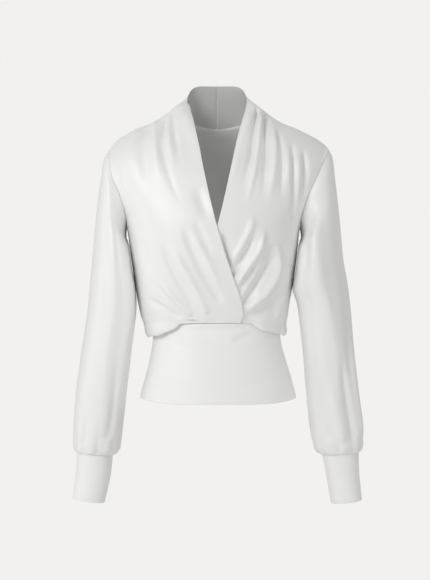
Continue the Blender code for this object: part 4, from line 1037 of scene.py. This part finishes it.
SET_IN = (1.6, 0.0)             # sections: the sleeve takes the armhole's shape
ARMHOLE_PLAIN = (0.3, 1.2)      # sections: no folds at the armhole
CUFF_PLAIN = (0.003, 0.010)     # to the sleeve's end: no folds at the cuff's seam
CUFF_TURN = 0.012               # from there to where the sleeve turns in
THIN_ROWS = 8                   # rows above the turn: the wall gets thinner
CUFF_TOP = (0.0, 0.3)           # two sections of the cuff that give its direction
# the sleeve's end falls over the cuff: share of the way out to the sleeve, way out, way down
CUFF_FALL = ((0.92, 0.0, 0.0014), (0.62, 0.0, 0.0036), (0.0, 0.0022, 0.0018),
             (0.0, 0.0009, -0.0004), (0.0, -0.0009, -0.0006))


def tube_rings(sections, side, at, angle):
    """Rings of a sleeve or cuff: angle 0 is its outer side, 90 degrees its front."""
    mine, other = ("right_", "left_") if side < 0 else ("left_", "right_")
    read = {name.removeprefix(mine): smooth_read(sections, "at", name, at)[:, None]
            for name in sections if not name.startswith(other)}
    outer = np.stack([side * read["outer_x"], read["outer_y"], read["outer_z"]], -1)
    inner = np.stack([side * read["inner_x"], read["inner_y"], read["inner_z"]], -1)
    c, s = np.cos(angle), np.sin(angle)
    power = 2 / TUBE_ROUND
    c = np.sign(c) * np.abs(c) ** power
    s = np.sign(s) * np.abs(s) ** power
    rings = (outer + inner) / 2 + c[None, :, None] * (outer - inner) / 2
    rings[..., 1] -= s[None] * read["half_depth"]
    return rings


def tube_outward(points):
    normals = grid_normals(points, closed=True)
    away = points - points.mean(axis=1, keepdims=True)
    return normals * np.sign(np.sum(normals * away))


def make_sleeve(name, side, folds, sizes):
    """A full sleeve, set into the armhole and gathered into its cuff."""
    angle = np.linspace(0, 2 * math.pi, SLEEVE_COLUMNS, endpoint=False)
    around = np.where(angle > math.pi + 1e-6, angle - 2 * math.pi, angle)
    places = crowded(SLEEVE_RINGS) * SLEEVE["at"][-1]
    rings = tube_rings(SLEEVE, side, places, angle)
    seam = armhole(side, around) + GAP * armhole_frame(side)[2]
    rings += (seam - rings[0])[None] * smoothstep(*SET_IN, places)[:, None, None]
    # the sleeve's end falls over the cuff and turns in to it
    top = tube_rings(CUFF, side, np.array(CUFF_TOP), angle)
    middle = top[0].mean(axis=0)
    axis_down = unit(top[1].mean(axis=0) - middle)
    away = unit(top[0] - middle)
    ends = [top[0] + (rings[-1] - top[0]) * share + away * out + axis_down * down
            for share, out, down in CUFF_FALL]
    end_rows = smooth_rows(np.array([rings[-1]] + ends), TURN_STEPS)[1:]
    points = np.concatenate([rings, end_rows])
    normals = tube_outward(points)

    stations = np.concatenate([places, np.full(len(end_rows), places[-1])])[:, None]
    flat_x = np.broadcast_to(around[None] * SLEEVE_SPAN / (2 * math.pi), points.shape[:2])
    flat_z = np.broadcast_to(-stations * SLEEVE_DROP, points.shape[:2])
    lift = fold_height(folds, flat_x, flat_z, sizes.folds, span=SLEEVE_SPAN)
    to_end = column_lengths(points)[1]
    gathers = uneven_gathers(SLEEVE_GATHERS, *SLEEVE_GATHER_SIZES)
    wave = gather_height(gathers, around[None], np.abs(to_end - CUFF_TURN), round_trip=True)
    lift = lift + wave * sizes.gathers
    lift *= smoothstep(*ARMHOLE_PLAIN, stations) * smoothstep(*CUFF_PLAIN, to_end)
    points = points + normals * lift[..., None]
    normals = tube_outward(points)
    normals[0] = armhole_normals(side, around, -1)

    dip = seam_dip(sizes.seam_dip, column_lengths(points)[0])
    rows = np.arange(len(points))[:, None]
    wall = sizes.wall + (sizes.turned_wall - sizes.wall) * smoothstep(
        len(rings) - THIN_ROWS, len(rings), rows) * np.ones(points.shape[1])
    outer = points - normals * dip[..., None]
    inner = outer - normals * (wall - dip / 2)[..., None]
    dress(add_wall("cloth_" + name, outer, inner, True), name, "crepe")


def cuff_points(side, places, angle):
    points = tube_rings(CUFF, side, places, angle)
    return points, tube_outward(points)


def finish_band(name, points, normals, dip, closed, sizes):
    """Give a piece of doubled cloth its wall, with a rounded lower edge."""
    wall = sizes.band_wall
    edge = rounded(wall, column_lengths(points)[1])
    outer = points - normals * ((wall - edge) / 2 + dip)[..., None]
    inner = points - normals * ((wall + edge) / 2)[..., None]
    dress(add_wall("cloth_" + name, outer, inner, closed), name, "band_cloth")


def make_cuff(name, side, sizes):
    """A long doubled cuff."""
    angle = np.linspace(0, 2 * math.pi, CUFF_COLUMNS, endpoint=False)
    points, normals = cuff_points(side, crowded(CUFF_RINGS) * CUFF["at"][-1], angle)
    finish_band(name, points, normals, 0.0, True, sizes)


# ---------------------------------------------------------------- the waistband
HEM_DROP, HEM_ROUND = 0.0140, 3         # the hem is lower at the centre front
DRAG_TOP = (-0.0010, 0.0012)            # from the waist seam: the drags set in
DRAG_HEM = (0.0, 0.004)                 # from the hem
DRAG_SIDE = 12                          # exponent of their fade at the side seams


def make_band(name, facing, sizes):
    """One half of the wide waistband, of doubled cloth."""
    half = (2 * crowded(BAND_COLUMNS) - 1) * math.pi / 2
    angle = half if facing < 0 else np.where(half < 0, -math.pi, math.pi) - half
    height = BAND["down"][-1]
    down = crowded(BAND_ROWS)[:, None] * height
    x, y = band_ring(angle[None], down)
    drop = HEM_DROP * (1 - np.abs(np.sin(angle)) ** HEM_ROUND) * (facing < 0) * down / height
    points = np.stack([x, y, waist_z(angle)[None] - down - drop], -1)
    points[:, (0, -1), 1] += facing * GAP / 2
    normals = outward(grid_normals(points), facing)
    if facing < 0:
        from_seam, from_hem = column_lengths(points)
        lift = fold_height(FOLDS_BAND, points[..., 0], points[..., 2], sizes.folds)
        lift *= smoothstep(*DRAG_TOP, from_seam) * smoothstep(*DRAG_HEM, from_hem)
        lift *= 1 - np.abs(2 * half / math.pi) ** DRAG_SIDE
        points = points + normals * lift[..., None]
        normals = outward(grid_normals(points), facing)
    for column in (0, -1):
        normals[:, column] = level(normals[:, column])
    dip = seam_dip(sizes.seam_dip, np.minimum(*row_lengths(points)))
    finish_band(name, points, normals, dip, False, sizes)


# ---------------------------------------------------------------- finishes
GLOW, GLOW_SHARE = 0.004, 0.30          # how far light spreads in the cloth, and its share
SHADE_SCALE, SHADES = 14.0, (0.975, 1.012)      # faint shade changes over the cloth
THREAD_STRETCH = 0.28                   # scale along a thread, against across it
WEAVE_SHADE, WEAVE_STRENGTH, WEAVE_DEPTH = 0.05, 0.35, 0.00012
SLUB_SCALE, SLUB_DEPTH = 38.0, 0.0012   # thicker places in the threads
# the colour's setting and share, roughness, depth of the slubs and fineness of the weave; the crepe
# at a lower share on the inner face of the fronts and the collar is painted shade, and the bands'
# lighter colour is painted light
FINISHES = {"crepe": ("crepe", 1.0, 0.52, 0.30, 2200.0),
            "crepe_reverse": ("crepe", 0.62, 0.60, 0.30, 2200.0),
            "band_crepe": ("band", 1.0, 0.50, 0.12, 2400.0)}


def add_node(tree, kind, sockets, **settings):
    """Add a node with its settings, and for each input a value or the output that feeds it."""
    node = tree.nodes.new(kind)
    for name, value in settings.items():
        setattr(node, name, value)
    feed(tree, node, sockets)
    return node


def feed(tree, node, sockets):
    for name, value in sockets.items():
        if isinstance(value, bpy.types.NodeSocket):
            tree.links.new(value, node.inputs[name])
        else:
            node.inputs[name].default_value = value


def new_material(name):
    """An empty material, its node tree and its shader."""
    material = bpy.data.materials.new(name)
    material.use_nodes = True
    tree = material.node_tree
    return material, tree, tree.nodes["Principled BSDF"]


def noise(tree, place, scale, detail=2.0):
    """The grey of a noise texture at a place."""
    node = add_node(tree, "ShaderNodeTexNoise", {"Vector": place, "Scale": scale, "Detail": detail})
    return node.outputs["Fac"]


def mixed(tree, factor, first, second, how="MIX"):
    """A mix of two colours, each a value or an output."""
    node = add_node(tree, "ShaderNodeMix", {"Factor": factor, "A": first, "B": second},
                    data_type="RGBA", blend_type=how)
    return node.outputs["Result"]


def shade(colour, share):
    return (*[min(value * share, 1.0) for value in colour], 1.0)


def bump(tree, height, strength, distance, normal=None):
    """A normal that height raises, on top of another one."""
    sockets = {"Height": height, "Strength": strength, "Distance": distance}
    if normal:
        sockets["Normal"] = normal
    return add_node(tree, "ShaderNodeBump", sockets).outputs["Normal"]


def finish(name):
    """Matt satin-backed crepe: a fine uneven weave, a soft sheen and faint shade changes."""
    if name in bpy.data.materials:
        return bpy.data.materials[name]
    setting, share, roughness, slub, weave = FINISHES[name]
    colour = [value * share for value in getattr(bpy.context.scene.wrap_top_colours, setting)]
    material, tree, shader = new_material(name)
    place = add_node(tree, "ShaderNodeTexCoord", {}).outputs["Object"]
    threads = add_node(tree, "ShaderNodeUVMap", {}, uv_map="threads").outputs["UV"]
    tone = mixed(tree, noise(tree, place, SHADE_SCALE, 3.0), shade(colour, SHADES[0]),
                 shade(colour, SHADES[1]))

    # warp and weft: noise that is stretched along the threads
    grain = []
    for stretch in ((1.0, THREAD_STRETCH, 1.0), (THREAD_STRETCH, 1.0, 1.0)):
        way = add_node(tree, "ShaderNodeMapping", {"Vector": threads, "Scale": stretch})
        grain.append(noise(tree, way.outputs["Vector"], weave))
    both = add_node(tree, "ShaderNodeMath", {0: grain[0], 1: grain[1]}).outputs["Value"]
    hand = bump(tree, noise(tree, place, SLUB_SCALE), slub, SLUB_DEPTH)
    feed(tree, shader, {
        "Base Color": mixed(tree, WEAVE_SHADE, tone, both, "MULTIPLY"),
        "Normal": bump(tree, both, WEAVE_STRENGTH, WEAVE_DEPTH, hand),
        "Roughness": roughness, "Sheen Weight": 0.25, "Sheen Roughness": 0.45,
        "Specular IOR Level": 0.35, "Subsurface Weight": GLOW_SHARE,
        "Subsurface Radius": (1.0, 1.0, 1.0), "Subsurface Scale": GLOW})
    return material


def mottled(name, first, second, scale, detail, roughness, sheen):
    """A material whose colour wavers between two."""
    material, tree, shader = new_material(name)
    place = add_node(tree, "ShaderNodeTexCoord", {}).outputs["Object"]
    tone = mixed(tree, noise(tree, place, scale, detail), first, second)
    feed(tree, shader, {"Base Color": tone, "Roughness": roughness, "Sheen Weight": sheen})
    return material


def thread_material():
    colour = tuple(bpy.context.scene.wrap_top_colours.thread)
    return mottled("thread", shade(colour, 0.94), shade(colour, 1.0), scale=900.0, detail=2.0,
                   roughness=0.6, sheen=0.3)


def dress(thing, node, slot):
    """Give a piece its finish, hide the solid that it stands for and attach it to the root."""
    thing.data.materials.append(finish("crepe" if slot == "crepe" else "band_crepe"))
    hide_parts(node)
    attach(thing, "root")


def paint_shade_inside(thing):
    """Give the inner face of a wall, its second grid of faces, a darker crepe, which is painted
    shade inside the fronts and the collar.
    """
    thing.data.materials.append(finish("crepe_reverse"))
    vertices = len(thing.data.vertices)
    for face in thing.data.polygons:
        if min(face.vertices) >= vertices // 2:
            face.material_index = 1


# ---------------------------------------------------------------- stitches
STITCH_COLUMNS, STITCH_ROWS = 240, 60   # places tried round the cuff and down it
STITCH_PROUD = 0.4       # how much of the thread's radius lies clear of the cloth


def stitch_tree(material, sizes):
    """A node tree that sets stitches along a curve: long beads, laid end to end."""
    tree = bpy.data.node_groups.new("stitch_row", "GeometryNodeTree")
    face = tree.interface
    face.new_socket("Geometry", in_out="INPUT", socket_type="NodeSocketGeometry")
    values = {"Pitch": sizes.pitch, "Length": sizes.length, "Thread": sizes.thread}
    for name, default in values.items():
        socket = face.new_socket(name, in_out="INPUT", socket_type="NodeSocketFloat")
        socket.default_value = default
    face.new_socket("Geometry", in_out="OUTPUT", socket_type="NodeSocketGeometry")
    given = add_node(tree, "NodeGroupInput", {}).outputs
    points = add_node(tree, "GeometryNodeCurveToPoints",
                      {"Curve": given["Geometry"], "Length": given["Pitch"]}, mode="LENGTH").outputs
    bead = add_node(tree, "GeometryNodeMeshUVSphere", {"Segments": 8, "Rings": 6, "Radius": 1.0})
    half = add_node(tree, "ShaderNodeMath", {0: given["Length"], 1: 0.5}, operation="MULTIPLY")
    size = add_node(tree, "ShaderNodeCombineXYZ", {
        "X": given["Thread"], "Y": given["Thread"], "Z": half.outputs["Value"]})
    laid = add_node(tree, "GeometryNodeInstanceOnPoints", {
        "Points": points["Points"], "Instance": bead.outputs["Mesh"],
        "Rotation": points["Rotation"], "Scale": size.outputs["Vector"]})
    real = add_node(tree, "GeometryNodeRealizeInstances", {"Geometry": laid.outputs["Instances"]})
    smooth = add_node(tree, "GeometryNodeSetShadeSmooth", {"Geometry": real.outputs["Geometry"]})
    coat = add_node(tree, "GeometryNodeSetMaterial", {
        "Geometry": smooth.outputs["Geometry"], "Material": material})
    add_node(tree, "NodeGroupOutput", {"Geometry": coat.outputs["Geometry"]})
    return tree


def stitch_row(name, path, tree):
    """Sew round a ring of points and keep the stitches as a plain mesh."""
    curve = bpy.data.curves.new(name + "_path", "CURVE")
    curve.dimensions = "3D"
    spline = curve.splines.new("POLY")
    spline.points.add(len(path) - 1)
    spline.points.foreach_set("co", np.column_stack([path, np.ones(len(path))]).ravel())
    spline.use_cyclic_u = True
    guide = add_object(name + "_path", curve)
    guide.modifiers.new("stitches", "NODES").node_group = tree
    seen = guide.evaluated_get(bpy.context.evaluated_depsgraph_get())
    mesh = bpy.data.meshes.new_from_object(seen)
    if not mesh.polygons:
        raise RuntimeError("no stitches were made for " + name)
    mesh.name = name
    thing = add_object(name, mesh)
    bpy.data.objects.remove(guide, do_unlink=True)
    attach(thing, "root")
    return thing


# ---------------------------------------------------------------- operators
class WRAPTOP_OT_fronts(bpy.types.Operator):
    """Make both fronts, each with its half of the collar"""
    bl_idname = "wraptop.fronts"
    bl_label = "Fronts and collar"

    def execute(self, context):
        sizes = context.scene.wrap_top_cloth
        make_front("front_right", -1, True, FOLDS_RIGHT, GATHERS_FRONT_RIGHT, sizes)
        make_front("front_left", 1, False, FOLDS_LEFT, GATHERS_FRONT_LEFT, sizes)
        return {"FINISHED"}


class WRAPTOP_OT_back(bpy.types.Operator):
    """Make the back"""
    bl_idname = "wraptop.back"
    bl_label = "Back"

    def execute(self, context):
        make_back(context.scene.wrap_top_cloth)
        return {"FINISHED"}


class WRAPTOP_OT_sleeves(bpy.types.Operator):
    """Make the two full sleeves"""
    bl_idname = "wraptop.sleeves"
    bl_label = "Sleeves"

    def execute(self, context):
        sizes = context.scene.wrap_top_cloth
        make_sleeve("sleeve_right", -1, FOLDS_SLEEVE_RIGHT, sizes)
        make_sleeve("sleeve_left", 1, FOLDS_SLEEVE_LEFT, sizes)
        return {"FINISHED"}


class WRAPTOP_OT_cuffs(bpy.types.Operator):
    """Make the two long cuffs"""
    bl_idname = "wraptop.cuffs"
    bl_label = "Cuffs"

    def execute(self, context):
        sizes = context.scene.wrap_top_cloth
        make_cuff("cuff_right", -1, sizes)
        make_cuff("cuff_left", 1, sizes)
        return {"FINISHED"}


class WRAPTOP_OT_waistband(bpy.types.Operator):
    """Make the waistband's front and back"""
    bl_idname = "wraptop.waistband"
    bl_label = "Waistband"

    def execute(self, context):
        sizes = context.scene.wrap_top_cloth
        make_band("waistband_front", -1, sizes)
        make_band("waistband_back", 1, sizes)
        return {"FINISHED"}


class WRAPTOP_OT_stitches(bpy.types.Operator):
    """Sew round the lower edges of the cuffs"""
    bl_idname = "wraptop.stitches"
    bl_label = "Stitches"

    def execute(self, context):
        sizes = context.scene.wrap_top_stitches
        tree = stitch_tree(thread_material(), sizes)
        angle = np.linspace(0, 2 * math.pi, STITCH_COLUMNS, endpoint=False)
        places = np.linspace(0, CUFF["at"][-1], STITCH_ROWS)
        for name, side in (("stitches_cuff_right", -1), ("stitches_cuff_left", 1)):
            points, normals = cuff_points(side, places, angle)
            to_end = column_lengths(points)[1]
            row = int(np.argmin(np.abs(to_end.mean(axis=1) - sizes.inset)))
            path = points[row] + normals[row] * sizes.thread * STITCH_PROUD
            stitch_row(name, path, tree)
        return {"FINISHED"}


class WRAPTOP_OT_studio(bpy.types.Operator):
    """Set up the floor, the lights, the room and the camera"""
    bl_idname = "wraptop.studio"
    bl_label = "Studio"

    def execute(self, context):
        sizes = context.scene.wrap_top_studio
        add_floor(sizes)
        add_lights(sizes)
        add_room(sizes)
        add_camera(sizes)
        return {"FINISHED"}


# ---------------------------------------------------------------- the studio
LOOK_AT = (-0.0037, 0.0, -0.3182)
SENSOR = 36.0
BACKDROP = (0.888, 0.879, 0.847)
ROOM_LIGHT = (1.0, 1.0, 0.995)
FLOOR_RADIUS, FLOOR_SIDES = 2.4, 96
FLOOR_COLOURS = ((0.84, 0.83, 0.80, 1), (0.86, 0.85, 0.82, 1))


def add_floor(sizes):
    """A round pale floor, where the wearer would stand."""
    edge = [(FLOOR_RADIUS * math.cos(a), FLOOR_RADIUS * math.sin(a), sizes.floor_z)
            for a in np.linspace(0, 2 * math.pi, FLOOR_SIDES, endpoint=False)]
    mesh = bpy.data.meshes.new("floor")
    mesh.from_pydata(edge, [], [list(range(len(edge)))])
    mesh.materials.append(mottled("floor_paint", *FLOOR_COLOURS, scale=3.0, detail=2.0,
                                  roughness=0.9, sheen=0.0))
    add_object("floor", mesh)


def aim(thing, target):
    """Turn a light or camera towards a place."""
    away = np.array(target) - np.array(thing.location)
    flat = math.hypot(away[0], away[1])
    thing.rotation_euler = (math.pi / 2 + math.atan2(away[2], flat), 0.0,
                            math.atan2(away[1], away[0]) - math.pi / 2)


# large soft lights: place, target, width, and power against the key light; the last one
# is a small lamp in the hollow that shines on the inside of the back
LAMPS = {"key": ((-1.75, -2.25, 0.9), (0, 0, -0.3), 1.5, 1.36),
         "low": ((-2.6, -0.6, -0.3), (0, 0, -0.3), 1.6, 0.45),
         "right_low": ((1.9, -2.2, -0.9), (0, 0, -0.3), 1.6, 0.46),
         "hollow": ((0, -0.07, -0.24), (0, 0.10, -0.17), 0.07, 0.0011)}
# how strongly the room shines from each side: axis, direction along it, strength
ROOM_SIDES = {"right": (0, 1, 0.21), "front": (1, -1, 0.35), "behind": (1, 1, 0.71),
              "above": (2, 1, 0.66), "below": (2, -1, 1.46)}


def add_lights(sizes):
    """Large soft lights round the top, and a small one in it."""
    for name, (place, target, wide, share) in LAMPS.items():
        lamp = bpy.data.lights.new(name, "AREA")
        lamp.shape = "DISK"
        lamp.size = wide
        lamp.energy = sizes.key * share
        thing = add_object(name, lamp)
        thing.location = place
        aim(thing, target)


def add_room(sizes):
    """A pale room whose sides shine unevenly on the top."""
    world = bpy.data.worlds.new("room")
    world.use_nodes = True
    tree = world.node_tree
    shown = tree.nodes["Background"]
    shown.inputs["Color"].default_value = (*BACKDROP, 1)
    way = add_node(tree, "ShaderNodeTexCoord", {}).outputs["Generated"]
    split = add_node(tree, "ShaderNodeSeparateXYZ", {"Vector": way}).outputs
    total = 0.0
    for axis, sign, strength in ROOM_SIDES.values():
        part = add_node(tree, "ShaderNodeMath",
                        {0: split[axis], 1: sign * strength * sizes.around}, operation="MULTIPLY")
        shining = add_node(tree, "ShaderNodeMath", {0: part.outputs["Value"], 1: 0.0},
                           operation="MAXIMUM")
        both = add_node(tree, "ShaderNodeMath", {0: total, 1: shining.outputs["Value"]})
        total = both.outputs["Value"]
    lighting = add_node(tree, "ShaderNodeBackground", {"Color": (*ROOM_LIGHT, 1), "Strength": total})
    seen = add_node(tree, "ShaderNodeLightPath", {}).outputs["Is Camera Ray"]
    mix = add_node(tree, "ShaderNodeMixShader", {
        0: seen, 1: lighting.outputs["Background"], 2: shown.outputs["Background"]})
    feed(tree, tree.nodes["World Output"], {"Surface": mix.outputs["Shader"]})
    bpy.context.scene.world = world


def add_camera(sizes):
    """A level camera in front of the top."""
    lens = bpy.data.cameras.new("camera")
    lens.sensor_width = SENSOR
    lens.lens = SENSOR * sizes.distance / sizes.height
    camera = add_object("camera", lens)
    camera.location = (LOOK_AT[0], LOOK_AT[1] - sizes.distance, LOOK_AT[2])
    aim(camera, LOOK_AT)
    bpy.context.scene.camera = camera
    bpy.context.scene.view_settings.view_transform = "Standard"


# ---------------------------------------------------------------- panel and registration
class WRAPTOP_PT_sidebar(bpy.types.Panel):
    """Sizes and steps of the wrap top"""
    bl_idname = "WRAPTOP_PT_sidebar"
    bl_label = "Wrap top"
    bl_space_type = "VIEW_3D"
    bl_region_type = "UI"
    bl_category = "Wrap top"

    def draw(self, context):
        for group in GROUPS:
            box = self.layout.box()
            values = getattr(context.scene, group)
            for name in values.__annotations__:
                box.prop(values, name)
        for step in STEPS:
            self.layout.operator(step.bl_idname)


GROUPS = {"wrap_top_cloth": ClothSizes, "wrap_top_colours": ClothColours,
          "wrap_top_stitches": StitchSizes, "wrap_top_studio": StudioSizes}
STEPS = (WRAPTOP_OT_fronts, WRAPTOP_OT_back, WRAPTOP_OT_sleeves, WRAPTOP_OT_cuffs,
         WRAPTOP_OT_waistband, WRAPTOP_OT_stitches, WRAPTOP_OT_studio)


def register():
    for kind in (*GROUPS.values(), *STEPS, WRAPTOP_PT_sidebar):
        bpy.utils.register_class(kind)
    for name, kind in GROUPS.items():
        setattr(bpy.types.Scene, name, bpy.props.PointerProperty(type=kind))


def unregister():
    for name in GROUPS:
        delattr(bpy.types.Scene, name)
    for kind in (WRAPTOP_PT_sidebar, *reversed(STEPS), *GROUPS.values()):
        bpy.utils.unregister_class(kind)


def main():
    register()
    bpy.ops.wraptop.fronts()
    bpy.ops.wraptop.back()
    bpy.ops.wraptop.sleeves()
    bpy.ops.wraptop.cuffs()
    bpy.ops.wraptop.waistband()
    bpy.ops.wraptop.stitches()
    bpy.ops.wraptop.studio()


if __name__ == "__main__":
    main()
